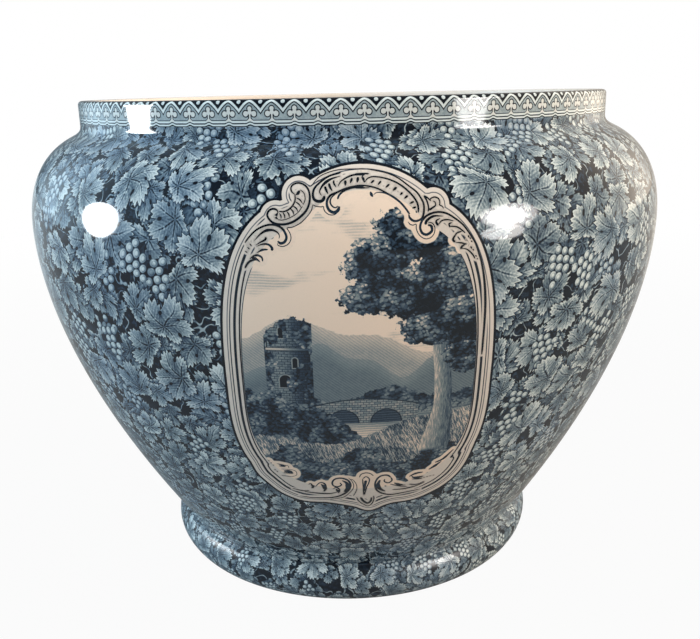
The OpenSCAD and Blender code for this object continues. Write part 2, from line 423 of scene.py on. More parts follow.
def lower_edge():
    """The frame's broad lower edge, which runs down to the shell's point."""
    x, z = panel().shell_x / MM, panel().shell_z / MM
    top = 117.0
    line = [(-56.5, top), (-52.1, 103.3), (-47.6, 96.8), (-40.6, 89.4), (-33.3, 85.2), (-28, 83.7), (-22, 83.4),
            (-17, 83.3), (-10.8, 82.0), (x - 7.5, z + 3.6), (x - 3, z + 1.0), (x, z), (x + 3.5, z + 0.8),
            (x + 8, z + 3.4), (17, 81.0), (24, 81.4), (30, 82.6), (36, 85.2), (43, 89.4), (49.5, 96), (54, 104.5),
            (57.5, top)]
    # It closes in short steps, because one long edge would cut through the round pot
    back = [(a, top) for a in np.linspace(56.3, -55.3, 92)]
    return [tuple(p) for p in smooth_line(line, 1.2)] + back


def frame_egg():
    p = panel()
    return egg(p.width / 2 / MM, (p.middle_z - p.low_z) / MM, (p.high_z - p.middle_z) / MM)


def picture_egg():
    p = panel()
    return egg(
        (p.width / 2 - p.side_w) / MM, (p.middle_z - p.low_z - p.low_w) / MM,
        (p.high_z - p.middle_z - p.high_w) / MM)


def frame_shapes():
    return [frame_egg(), lower_edge()] + [circle(*c) for c in rounds()]


def picture_shapes():
    p = panel()
    return [picture_egg(), circle(p.crest_x / MM, (p.crest_z - p.crest_r) / MM, (p.crest_r - p.crest_w) / MM)]


def depth_in(points, outline):
    """How deep points lie inside a closed outline, negative outside it."""
    a = np.array(outline)
    b = np.roll(a, -1, axis=0)
    best = np.full(len(points), 1e9)
    inside = np.zeros(len(points), bool)
    x, z = points.T
    for (ax, az), (bx, bz) in zip(a, b):
        ex, ez = bx - ax, bz - az
        t = np.clip(((x - ax) * ex + (z - az) * ez) / (ex * ex + ez * ez), 0, 1)
        best = np.minimum(best, np.hypot(x - ax - t * ex, z - az - t * ez))
        if az != bz:
            crossed = ((az > z) != (bz > z)) & (x < ax + (z - az) * ex / ez)
            inside ^= crossed
    return np.where(inside, best, -best)


def depth_in_any(points, shapes):
    return np.max([depth_in(points, s) for s in shapes], axis=0)


# ---------------------------------------------------------------- shader wiring

class Wire:
    """A value in a shader's node tree, with the usual arithmetic."""

    def __init__(self, net, socket):
        self.net, self.socket = net, socket

    def first(self, op, other):
        return self.net.math(op, self, other)

    def second(self, op, other):
        return self.net.math(op, other, self)

    __add__, __radd__ = partialmethod(first, "ADD"), partialmethod(second, "ADD")
    __sub__, __rsub__ = partialmethod(first, "SUBTRACT"), partialmethod(second, "SUBTRACT")
    __mul__, __rmul__ = partialmethod(first, "MULTIPLY"), partialmethod(second, "MULTIPLY")
    __truediv__ = partialmethod(first, "DIVIDE")
    __neg__ = partialmethod(first, "MULTIPLY", -1.0)


class Net:
    """Short ways to build a node tree."""

    def __init__(self, tree):
        self.tree = tree

    def put(self, socket, value):
        if isinstance(value, Wire):
            self.tree.links.new(value.socket, socket)
        elif value is not None:
            socket.default_value = value

    def node(self, kind, inputs=(), **settings):
        n = self.tree.nodes.new("ShaderNode" + kind)
        for key, value in settings.items():
            setattr(n, key, value)
        for key, value in dict(inputs).items():
            self.put(n.inputs[key], value)
        return n

    def out(self, n, key=0):
        return Wire(self, n.outputs[key])

    def math(self, op, *values):
        return self.out(self.node("Math", enumerate(values), operation=op))

    floor, fraction = partialmethod(math, "FLOOR"), partialmethod(math, "FRACT")
    nearest, size = partialmethod(math, "ROUND"), partialmethod(math, "ABSOLUTE")
    root, power = partialmethod(math, "SQRT"), partialmethod(math, "POWER")
    low, high = partialmethod(math, "MINIMUM"), partialmethod(math, "MAXIMUM")
    below, wrap = partialmethod(math, "LESS_THAN"), partialmethod(math, "WRAP")
    sin, cos, angle = partialmethod(math, "SINE"), partialmethod(math, "COSINE"), partialmethod(math, "ARCTAN2")

    def away(self, x, y):
        return self.root(x * x + y * y)

    def smooth(self, x, lo, hi, to_lo=0.0, to_hi=1.0):
        """Rises softly from to_lo at lo to to_hi at hi."""
        n = self.node("MapRange", {"Value": x, "From Min": lo, "From Max": hi, "To Min": to_lo, "To Max": to_hi},
                      interpolation_type="SMOOTHSTEP")
        return self.out(n)

    def blend(self, share, a, b):
        """a where share is 0, b where it is 1."""
        return self.out(self.node("Mix", {0: share, 2: a, 3: b}, data_type="FLOAT"))

    def cover(self, under, depth, lo, hi, over):
        """One value laid over another, from where depth is lo to where it is hi."""
        return self.blend(self.smooth(depth, lo, hi), under, over)

    def tint(self, share, a, b):
        """The same as blend for colours, each a wire or three numbers."""
        n = self.node("Mix", {0: share}, data_type="RGBA")
        for socket, value in ((n.inputs[6], a), (n.inputs[7], b)):
            self.put(socket, value if isinstance(value, Wire) else (*value, 1.0))
        return self.out(n, 2)

    def strokes(self, at, pitch, shift=0.0):
        """Even ruled strokes, from 0 to 1 and back within each pitch."""
        return 0.5 + self.sin(at * (FULL_TURN / pitch) + shift) * 0.5

    def vector(self, x=0.0, y=0.0, z=0.0):
        return self.out(self.node("CombineXYZ", {0: x, 1: y, 2: z}))

    def parts(self, v):
        n = self.node("SeparateXYZ", {0: v})
        return [self.out(n, i) for i in range(3)]

    def noise(self, at, scale, detail=2.0, rough=0.5):
        return self.out(self.node("TexNoise", {"Vector": at, "Scale": scale, "Detail": detail, "Roughness": rough}))

    def random(self, at):
        """Three even random numbers for a place."""
        n = self.node("TexWhiteNoise", {"Vector": at}, noise_dimensions="3D")
        return self.parts(self.out(n, 1))

    def attribute(self, name):
        return self.out(self.node("Attribute", attribute_name=name), "Fac")

    def object_place(self):
        return self.out(self.node("TexCoord"), "Object")

    def place_on_pot(self):
        """The outputs of the Place On Pot group, and the place in millimetres as one vector."""
        place = self.group("Place On Pot")
        return place, self.vector(place["X"], place["Y"], place["Z"])

    def group(self, name, inputs=()):
        n = self.node("Group", node_tree=bpy.data.node_groups[name])
        for key, value in dict(inputs).items():
            self.put(n.inputs[key], value)
        return {o.name: Wire(self, o) for o in n.outputs}


def new_group(name, inputs, outputs):
    """An empty node group; returns its net, its inputs and a function that joins its outputs to their values."""
    tree = bpy.data.node_groups.new(name, "ShaderNodeTree")
    for key, value in inputs.items():
        kind = "NodeSocketColor" if isinstance(value, tuple) else "NodeSocketFloat"
        socket = tree.interface.new_socket(key, in_out="INPUT", socket_type=kind)
        socket.default_value = (*value, 1.0) if isinstance(value, tuple) else value
    for key in outputs:
        kind = "NodeSocketColor" if key == "Colour" else "NodeSocketFloat"
        tree.interface.new_socket(key, in_out="OUTPUT", socket_type=kind)
    net = Net(tree)
    source, sink = tree.nodes.new("NodeGroupInput"), tree.nodes.new("NodeGroupOutput")
    given = {o.name: Wire(net, o) for o in source.outputs if o.name}

    def end(**results):
        for key, value in results.items():
            net.put(sink.inputs[key], value)

    return net, given, end


# ---------------------------------------------------------------- shared effects

def make_place_group():
    """Where a point of the pot lies: round it and up it on the print, in millimetres, and its turn in radians."""
    net, _, end = new_group("Place On Pot", {}, ["Around", "Rise", "Turn", "X", "Y", "Z"])
    x, y, z = net.parts(net.object_place())
    turn = net.angle(x, -y)
    k = 1 / MM
    end(Around=turn * PRINT_R, Rise=net.attribute("rise"), Turn=turn, X=x * k, Y=y * k, Z=z * k)


def cell_of(net, given, slack, swing):
    """The cell of a staggered grid round the pot: the place in it from a jittered, turned middle, two sets of random
    numbers, and whether anything grows there."""
    across = given["Around"] * given["Count"] / GIRTH
    up = given["Rise"] / given["Row"]
    row = net.floor(up)
    across = across + net.random(net.vector(row, given["Seed"], 3.7))[0]
    column = net.floor(across)
    place = net.wrap(column, given["Count"], 0.0)
    one = net.random(net.vector(place, row, given["Seed"]))
    two = net.random(net.vector(place, row, given["Seed"] + 41.3))
    x = (across - column - 0.5) * GIRTH / given["Count"] - (one[0] - 0.5) * slack
    y = (up - row - 0.5) * given["Row"] - (one[1] - 0.5) * slack
    turn = (two[0] - 0.5) * swing
    c, s = net.cos(turn), net.sin(turn)
    grown = net.below(net.random(net.vector(*one))[0], given["Presence"])
    return x * c + y * s, y * c - x * s, one, two, grown


CELL_INPUTS = {"Around": 0.0, "Rise": 0.0, "Count": 30.0, "Row": 30.0, "Seed": 1.0, "Presence": 1.0, "Grain": 0.5}


def make_leaf_group():
    """One layer of lobed, toothed vine leaves, one to a cell."""
    net, given, end = new_group("Vine Leaves", {**CELL_INPUTS, "Size": 14.0}, ["Cover", "Tone", "Shadow"])
    x, y, one, two, grown = cell_of(net, given, 3.0, FULL_TURN)
    size = given["Size"] * (0.84 + one[2] * 0.2)
    x, y = x / size * (0.92 + two[1] * 0.22), y / size + 0.28
    rho, phi = net.away(x, y), net.angle(x, y)
    phi = phi + (two[1] - 0.5) * rho * 0.5
    lobe = net.power(net.size(net.cos(phi * 3.0)), 0.55)
    taper = 0.3 + 0.7 * net.root(net.high(0.5 + 0.5 * net.cos(phi), 0.0))
    tooth = net.size(net.fraction(phi * 5.73 + 0.25) - 0.5) * 2.0
    edge = taper * (0.56 + lobe * 0.44) * (0.88 + tooth * 0.14 + (given["Grain"] - 0.5) * 0.12)
    inside = (edge - rho) * size
    share = rho / edge
    # The nearest of the main veins, which run out to the lobes every sixth of a turn
    sixth = FULL_TURN / 6
    psi = phi - net.nearest(phi * (1 / sixth)) * sixth
    off, run = rho * size * net.sin(net.size(psi)), rho * size * net.cos(psi)
    vein = net.smooth(off, 0.38, 0.14) * net.smooth(share, 0.95, 0.5)
    beside = net.smooth(off, 0.35, 0.6) * net.smooth(off, 1.2, 0.7)
    ribs = net.sin((run - off * 0.9) * (FULL_TURN / 1.9))
    cleft = net.smooth(net.size(psi), 0.28, 0.53) * net.smooth(share, 0.15, 0.7)
    half = net.math("SIGN", psi) * (two[2] - 0.35)
    bead = net.smooth(net.away(run - size * 0.4, off), 0.7, 0.4) + net.smooth(rho * size, 0.95, 0.55)
    # Lit at its teeth and on one half of each lobe, shaded at its middle, its veins and its clefts
    tone = (0.42 + two[2] * 0.14
            + net.smooth(share, 0.5, 0.9) * 0.2
            + net.smooth(inside, 1.5, 0.5) * (0.1 + tooth * 0.2)
            - net.smooth(share, 0.55, 0.0) * 0.2
            + beside * 0.16 - vein * 0.36 - cleft * 0.24 + bead * 0.3
            + ribs * 0.09 * net.smooth(share, 1.0, 0.6)
            + half * 0.16 + (given["Grain"] - 0.5) * 0.8)
    # A small hole between neighbouring lobes
    hole = net.away((rho - 0.5) * size * 0.62, (0.5236 - net.size(psi)) * rho * size * 0.85)
    cover = net.smooth(inside, -0.12, 0.12) * net.smooth(hole, 0.6, 0.85) * grown
    shadow = net.high(net.smooth(inside, -0.75, -0.3), net.smooth(inside, -3.2, -0.3) * 0.6) * grown
    end(Cover=cover, Tone=tone, Shadow=shadow)


def make_grape_group():
    """Bunches of grapes, one to a cell."""
    net, given, end = new_group("Vine Grapes", {**CELL_INPUTS, "Berry": 4.7}, ["Cover", "Tone", "Shadow"])
    x, y, _, two, grown = cell_of(net, given, 14.0, 1.1)
    berry, squash = given["Berry"], 0.9
    # The berries stand in staggered rows, each a little out of place
    u, v = x / berry, y / (berry * squash)
    line = net.nearest(v)
    shift = net.fraction(line * 0.5)
    place = net.nearest(u - shift)
    nudge = net.random(net.vector(place, line, two[1]))
    middle = place + shift
    dx, dy = u - middle - (nudge[0] - 0.5) * 0.14, (v - line) * squash - (nudge[1] - 0.5) * 0.1
    # Each berry is there as a whole if its middle lies in the bunch
    bx, by = middle * berry, line * berry * squash
    bunch = net.away(bx / (6.6 + by * 0.2), by / 10.5)
    inside = net.below(bunch + (nudge[2] - 0.5) * 0.3, 1.0)
    reach = net.away(dx, dy)
    cover = net.smooth(reach, 0.51, 0.47) * (grown * inside)
    lit = net.away(dx + 0.1, dy - 0.12)
    tone = (1.02 - net.smooth(lit, 0.1, 0.56) * 0.42
            - net.smooth(net.size(net.away(dx - 0.04, dy + 0.05) - 0.27), 0.08, 0.02) * 0.2
            - net.smooth(reach, 0.38, 0.48) * 0.35
            + (given["Grain"] - 0.5) * 0.2)
    end(Cover=cover, Tone=tone, Shadow=net.smooth(bunch, 1.35, 1.0) * grown * 0.85)


VINE_LAYERS = [
    # What grows there, cells round the pot, their height, seed, size of a leaf, share of cells with any, light
    ("Leaves", 54, 22.0, 11.0, 12.8, 0.97, 0.8),
    ("Leaves", 48, 25.0, 23.0, 14.4, 0.95, 0.9),
    ("Leaves", 41, 29.0, 37.0, 16.2, 0.88, 0.98),
    ("Grapes", 32, 34.0, 53.0, None, 0.62, 0.95),
    ("Leaves", 36, 33.0, 71.0, 17.6, 0.78, 1.05),
    ("Grapes", 26, 41.0, 89.0, None, 0.36, 0.98),
]


def make_vine_group():
    """The whole vine print as a tone, from 0 for the ground to 1 for paper."""
    net, _, end = new_group("Vine Print", {}, ["Tone"])
    place, at = net.place_on_pot()
    grain = net.noise(at, 1.1, 3.0, 0.65)
    bend_x, bend_y = net.noise(at, 0.05, 1.0), net.noise(net.vector(place["Y"], place["Z"], place["X"]), 0.05, 1.0)
    wave = net.sin(place["Turn"] * 5.0) * 6.0
    tone = 0.02 + net.smooth(net.noise(at, 0.35, 2.0), 0.4, 0.75) * 0.18 + (grain - 0.5) * 0.1
    # Thin pale tendrils that wander over the ground
    curl = net.size(net.noise(at, 0.11, 1.0, 0.4) - 0.5)
    tone = tone + net.smooth(curl, 0.02, 0.008) * 0.65
    for i, (kind, count, row, seed, size, presence, light) in enumerate(VINE_LAYERS):
        # The leaves are bent a little out of shape, the berries hardly
        bend = 11.0 if kind == "Leaves" else 4.0
        around = place["Around"] + (bend_x - 0.5) * bend + i * 7.3
        rise = place["Rise"] + (bend_y - 0.5) * bend + wave + i * 11.9
        inputs = {"Around": around, "Rise": rise, "Count": float(count), "Row": row,
                  "Seed": seed, "Presence": presence, "Grain": grain}
        inputs.update({"Size": size} if size else {"Berry": sizes().berry_d / MM})
        layer = net.group("Vine " + kind, inputs)
        tone = tone * (1.0 - layer["Shadow"] * 0.95)
        tone = net.blend(layer["Cover"], tone, layer["Tone"] * light)
    end(Tone=net.high(tone, 0.0))


def make_ink_group():
    """Turns a tone into the colour that one ink gives over the glaze, from solid to bare."""
    net, given, end = new_group(
        "Print Ink", {"Tone": 0.5, "Solid": (0.01, 0.02, 0.04), "Deep": (0.05, 0.09, 0.14), "Middle": (0.2, 0.3, 0.4),
                      "Bare": (0.6, 0.7, 0.75)}, ["Colour"])
    tone = given["Tone"]
    hue = net.tint(net.smooth(tone, 0.0, 0.3), given["Solid"], given["Deep"])
    hue = net.tint(net.smooth(tone, 0.18, 0.62), hue, given["Middle"])
    end(Colour=net.tint(net.smooth(tone, 0.5, 1.0), hue, given["Bare"]))


def make_foliage_group():
    """Engraved foliage: small pale leaf touches, gathered in lit and shaded clumps."""
    net, given, end = new_group("Engraved Foliage", {"X": 0.0, "Z": 0.0, "Seed": 0.0}, ["Tone"])
    x, z = given["X"], given["Z"]
    at = net.vector(x, z, given["Seed"] * 7.0)
    bend = net.noise(at, 0.35, 2.0, 0.6) - 0.5
    leaf = None
    for scale, tilt in ((0.5, 0.55), (0.36, -0.7)):
        where = net.vector(x + z * tilt + bend * 4.0, z * 1.35 - x * tilt * 0.6 + bend * 2.0)
        touch = net.node("TexVoronoi", {"Vector": where, "Scale": scale, "Randomness": 0.95}, voronoi_dimensions="2D")
        each = net.parts(net.out(touch, "Color"))[0]
        level = net.smooth(net.out(touch, "Distance"), 0.6, 0.25) * (0.2 + each * 0.8)
        leaf = level if leaf is None else net.high(leaf, level * 0.85)
    clump = net.noise(at, 0.11, 2.0, 0.6)
    lit = net.smooth(clump, 0.38, 0.64)
    end(Tone=leaf * (0.3 + lit * 0.5) + lit * 0.25 - 0.02)


def make_waver_group():
    """The slow unevenness of thick glaze over hand-finished clay, as a height from 0 to 1."""
    net, given, end = new_group("Glaze Waver", {"Pinholes": 0.3}, ["Height"])
    where = net.object_place()
    wave = net.noise(where, 20.0, 1.0, 0.5) * 0.5 + net.noise(where, 85.0, 2.0, 0.5) * 0.13
    pin = net.node("TexVoronoi", {"Vector": where, "Scale": 55.0, "Randomness": 1.0})
    spot = net.smooth(net.out(pin, "Distance"), 0.06, 0.02)
    end(Height=wave - spot * given["Pinholes"] * 0.05)


# ---------------------------------------------------------------- materials

def empty_net(owner):
    """The node tree of a material or a world, with nothing in it."""
    owner.use_nodes = True
    owner.node_tree.nodes.clear()
    return Net(owner.node_tree)


def new_material(name, roughness, coat=1.0, shine=0.07):
    """A fresh material; coat is the share of glaze over it and shine that glaze's roughness.
    Returns the material, its net and its shader."""
    material = bpy.data.materials.new(name)
    net = empty_net(material)
    # Under a full coat of glaze the print has no shine of its own
    shader = net.node("BsdfPrincipled", {"Roughness": roughness, "Coat Weight": coat, "Coat Roughness": shine,
                                         "Coat IOR": 1.52, "IOR": 1.5, "Specular IOR Level": 0.5 - coat * 0.5})
    net.node("OutputMaterial", {0: net.out(shader)})
    return material, net, shader


def scaled(hue, *factors):
    """A colour with its parts multiplied by one factor, or each by its own, and kept to at most 1."""
    return tuple(np.minimum(np.array(hue) * factors, 1.0))


def glaze(net, shader, hue, depth=0.9):
    """Puts a colour on a shader, and the glaze's waver as deep as given."""
    waver = net.group("Glaze Waver")
    bump = net.node("Bump", {"Strength": depth, "Distance": 0.0008, "Height": waver["Height"]})
    net.put(shader.inputs["Base Color"], hue)
    net.put(shader.inputs["Normal"], net.out(bump))


def ink(net, tone, solid, deep, middle, bare):
    return net.group("Print Ink", {
        "Tone": tone, "Solid": (*solid, 1), "Deep": (*deep, 1), "Middle": (*middle, 1), "Bare": (*bare, 1)})["Colour"]


def vine_material(name, lift, shine):
    """The vine print under glaze; lift makes the whole print paler, shine is the roughness of its glaze."""
    c = colours()
    material, net, shader = new_material(name, 0.32, shine=shine)
    place, at = net.place_on_pot()
    tone = net.group("Vine Print")["Tone"] + lift
    # A dark printed line runs round the panels, and along the foot's bottom edge the print is darkened as painted
    # shadow where the pot meets the floor
    tone = tone * net.smooth(net.attribute("panel_away"), 1.0, 1.35) * net.smooth(place["Z"], 2.9, 3.3)
    hue = ink(net, tone, c.ground, c.deep, c.leaf, c.pale)
    # Here and there the ink has flowed into the glaze and tints it blue
    flow = net.noise(at, 0.022, 2.0, 0.5)
    flow = net.smooth(flow, 0.48, 0.68) + net.smooth(place["Z"], 258.0, 267.0) * net.smooth(flow, 0.42, 0.52)
    flow = flow * net.smooth(tone, 0.1, 0.6) * 0.26
    glaze(net, shader, net.tint(flow, hue, tuple(c.flow)))
    return material


def cream_material(name, spots):
    """Plain cream glaze with faint pooling and a few iron specks; spots is how dark those are."""
    cream, iron = tuple(colours().cream), (0.16, 0.12, 0.09)
    material, net, shader = new_material(name, 0.25)
    where = net.object_place()
    pool = net.noise(where, 9.0, 3.0, 0.6)
    speck = net.node("TexVoronoi", {"Vector": where, "Scale": 60.0})
    dark = net.smooth(net.out(speck, "Distance"), 0.05, 0.02) * spots
    hue = net.tint(net.smooth(pool, 0.35, 0.7), cream, scaled(cream, 0.93, 0.89, 0.82))
    glaze(net, shader, net.tint(dark, hue, iron), 0.6)
    return material


def clay_material():
    """Bare fired clay, a little sandy and stained."""
    clay = tuple(colours().clay)
    material, net, shader = new_material("Fired Clay", 0.8, coat=0.0)
    where = net.object_place()
    grain = net.noise(where, 1400.0, 3.0, 0.6)
    stain = net.smooth(net.noise(where, 40.0, 3.0, 0.6), 0.4, 0.75)
    bump = net.node("Bump", {"Strength": 0.5, "Distance": 0.0002, "Height": grain})
    net.put(shader.inputs["Base Color"], net.tint(stain, clay, scaled(clay, 0.7, 0.62, 0.52)))
    net.put(shader.inputs["Roughness"], net.smooth(grain, 0.3, 0.7, 0.7, 0.9))
    net.put(shader.inputs["Normal"], net.out(bump))
    return material


def border_material():
    """The arcade border: pale pointed arches over trefoils, on a dark strip, between two lines."""
    c = colours()
    material, net, shader = new_material("Arcade Border", 0.32)
    place, at = net.place_on_pot()
    # Millimetres across from an arch's middle, and down from the lip's edge
    pitch = 10.35
    across = (net.fraction(place["Turn"] * (sizes().arches / FULL_TURN)) - 0.5) * pitch
    side = net.size(across)
    y = net.attribute("band") * (sizes().border_h / MM)
    # The arch line falls from a rounded peak at the middle to a sharp valley at the sides
    peak, valley, bow = 1.0, 5.25, 1.5
    share = net.high(side / (pitch / 2), 0.0001)
    slope = net.power(share, bow - 1) * (bow * (valley - peak) / (pitch / 2))
    off = (y - peak - net.power(share, bow) * (valley - peak)) / net.root(1.0 + slope * slope)
    tone = net.smooth(off, -0.1, 0.1, -0.1, 0.68)
    tone = net.cover(tone, net.away(side - pitch / 2, y - 1.4), 1.05, 0.85, 0.85)
    tone = net.cover(tone, net.size(off - 0.78), 0.34, 0.16, -0.1)
    tone = net.cover(tone, net.size(off), 0.6, 0.44, 1.0)
    # A trefoil on a stem stands under each peak, with a dark outline that hooks in under its lobes
    lobe = net.low(net.away(across, y - 4.4) - 1.0, net.away(side - 1.95, y - 6.5) - 1.17)
    stem = net.high(side - 0.34 - net.smooth(y, 8.2, 9.8) * 1.3, net.size(y - 7.8) - 1.9)
    lobe = net.low(net.low(lobe, stem), net.away(across, y - 5.9) - 1.0)
    tone = net.blend(net.smooth(lobe, 0.52, 0.36) * net.smooth(y, 9.5, 9.2), tone, -0.1)
    # The lines below: middle, half-width, tone and how far they rise to a cusp under each stem
    cusp = net.power(net.smooth(side, 2.6, 0.0), 1.3) * 0.7
    for middle, half, level, lift in ((9.25, 0.13, -0.1, 0.0), (9.85, 0.36, 1.0, 0.4), (10.65, 0.2, -0.1, 1.0),
                                      (11.25, 0.32, 1.0, 1.0), (11.9, 0.24, -0.1, 1.0)):
        tone = net.cover(tone, net.size(y + cusp * lift - middle), half + 0.14, half - 0.1, level)
    lobe = net.smooth(lobe, 0.1, -0.1)
    tone = net.blend(lobe, tone, 0.95)
    tone = tone + (net.noise(at, 1.3, 2.0) - 0.5) * 0.24 + (net.noise(at, 0.16, 1.0) - 0.5) * 0.2
    hue = ink(net, tone, c.ground, c.deep, c.leaf, scaled(c.pale, 1.12))
    hue = net.tint(lobe * 0.35, hue, scaled(c.cream, 0.9))
    # Plain glaze where the border turns over the lip
    hue = net.tint(net.smooth(y, -0.45, -0.65), hue, tuple(c.cream))
    glaze(net, shader, hue)
    return material


def frame_material():
    """The moulded frame in fine blue lines on cream, between its outer and inner edges."""
    c = colours()
    material, net, shader = new_material("Scroll Frame", 0.3)
    _, at = net.place_on_pot()
    depth, scroll = net.attribute("edge"), net.attribute("scroll")
    grain = net.noise(at, 1.3, 3.0, 0.6)
    calm = net.smooth(scroll, 0.5, 1.5)
    tone = 0.95 + (grain - 0.5) * 0.24 - net.smooth(depth, 2.0, 6.0) * 0.08
    # The long mouldings: middle, half-width, tone and whether the scrolls cover the line
    for middle, half, level, under in ((1.95, 0.2, 0.3, False), (3.15, 0.22, 0.1, True),
                                       (5.35, 0.58, 0.06, True), (7.6, 0.3, -0.1, True)):
        line = net.smooth(net.size(depth - middle), half + 0.16, half - 0.1)
        tone = net.blend(line * calm if under else line, tone, level)
    # Each scroll is shaded beside its line
    tone = tone - net.smooth(scroll, 0.6, 0.1) * 0.16
    tone = net.blend(net.attribute("ink"), tone, grain * 0.1 - 0.1)
    pale = scaled(c.cream, 0.94)
    glaze(net, shader, ink(net, tone, c.line, c.deep, scaled(pale, 0.5), pale))
    return material


# The two landscapes: tree masses (place across, height, half-width, half-height), its trunk, far ridge, lake shore,
# the bridge's middle and the tower's place; millimetres, seen from outside
FRONT_VIEW = {
    "crowns": [(30, 230, 24, 13), (8, 217, 15, 11), (44, 212, 20, 16), (23, 204, 20, 13), (47, 190, 15, 15),
               (2, 202, 11, 8), (33, 187, 16, 9), (49, 172, 11, 10)],
    "trunk": (36.0, 4.2), "ridge": 172.0, "shore": 139.0, "bridge": 2.0, "tower": (-32.0, 9.5, 47.0), "seed": 3.0}
BACK_VIEW = {
    "crowns": [(-34, 228, 22, 12), (-14, 216, 15, 10), (-44, 212, 16, 14), (-28, 202, 20, 11), (-46, 192, 14, 13),
               (-6, 205, 9, 6)],
    "trunk": (-37.0, 3.8), "ridge": 178.0, "shore": 143.0, "bridge": 6.0, "tower": (36.0, 8.0, 40.0), "seed": 8.0}


def crown(net, x, z, blobs):
    """How deep a point lies in a mass of rounded crowns, and how well lit it is there."""
    depth, light = None, None
    for cx, cz, rx, rz in blobs:
        u, v = (x - cx) / rx, (z - cz) / rz
        deep = (1.0 - net.away(u, v)) * min(rx, rz)
        lit = 0.5 + v * 0.45 - u * 0.22
        if depth is None:
            depth, light = deep, lit
        else:
            nearer = net.smooth(deep - depth, -0.4, 0.4)
            light = net.blend(nearer, light, lit)
            depth = net.high(depth, deep)
    return depth, light


def slab(net, x, z, cx, cz, half_w, half_h):
    """Signed distance into an upright rectangle."""
    return net.low(half_w - net.size(x - cx), half_h - net.size(z - cz))


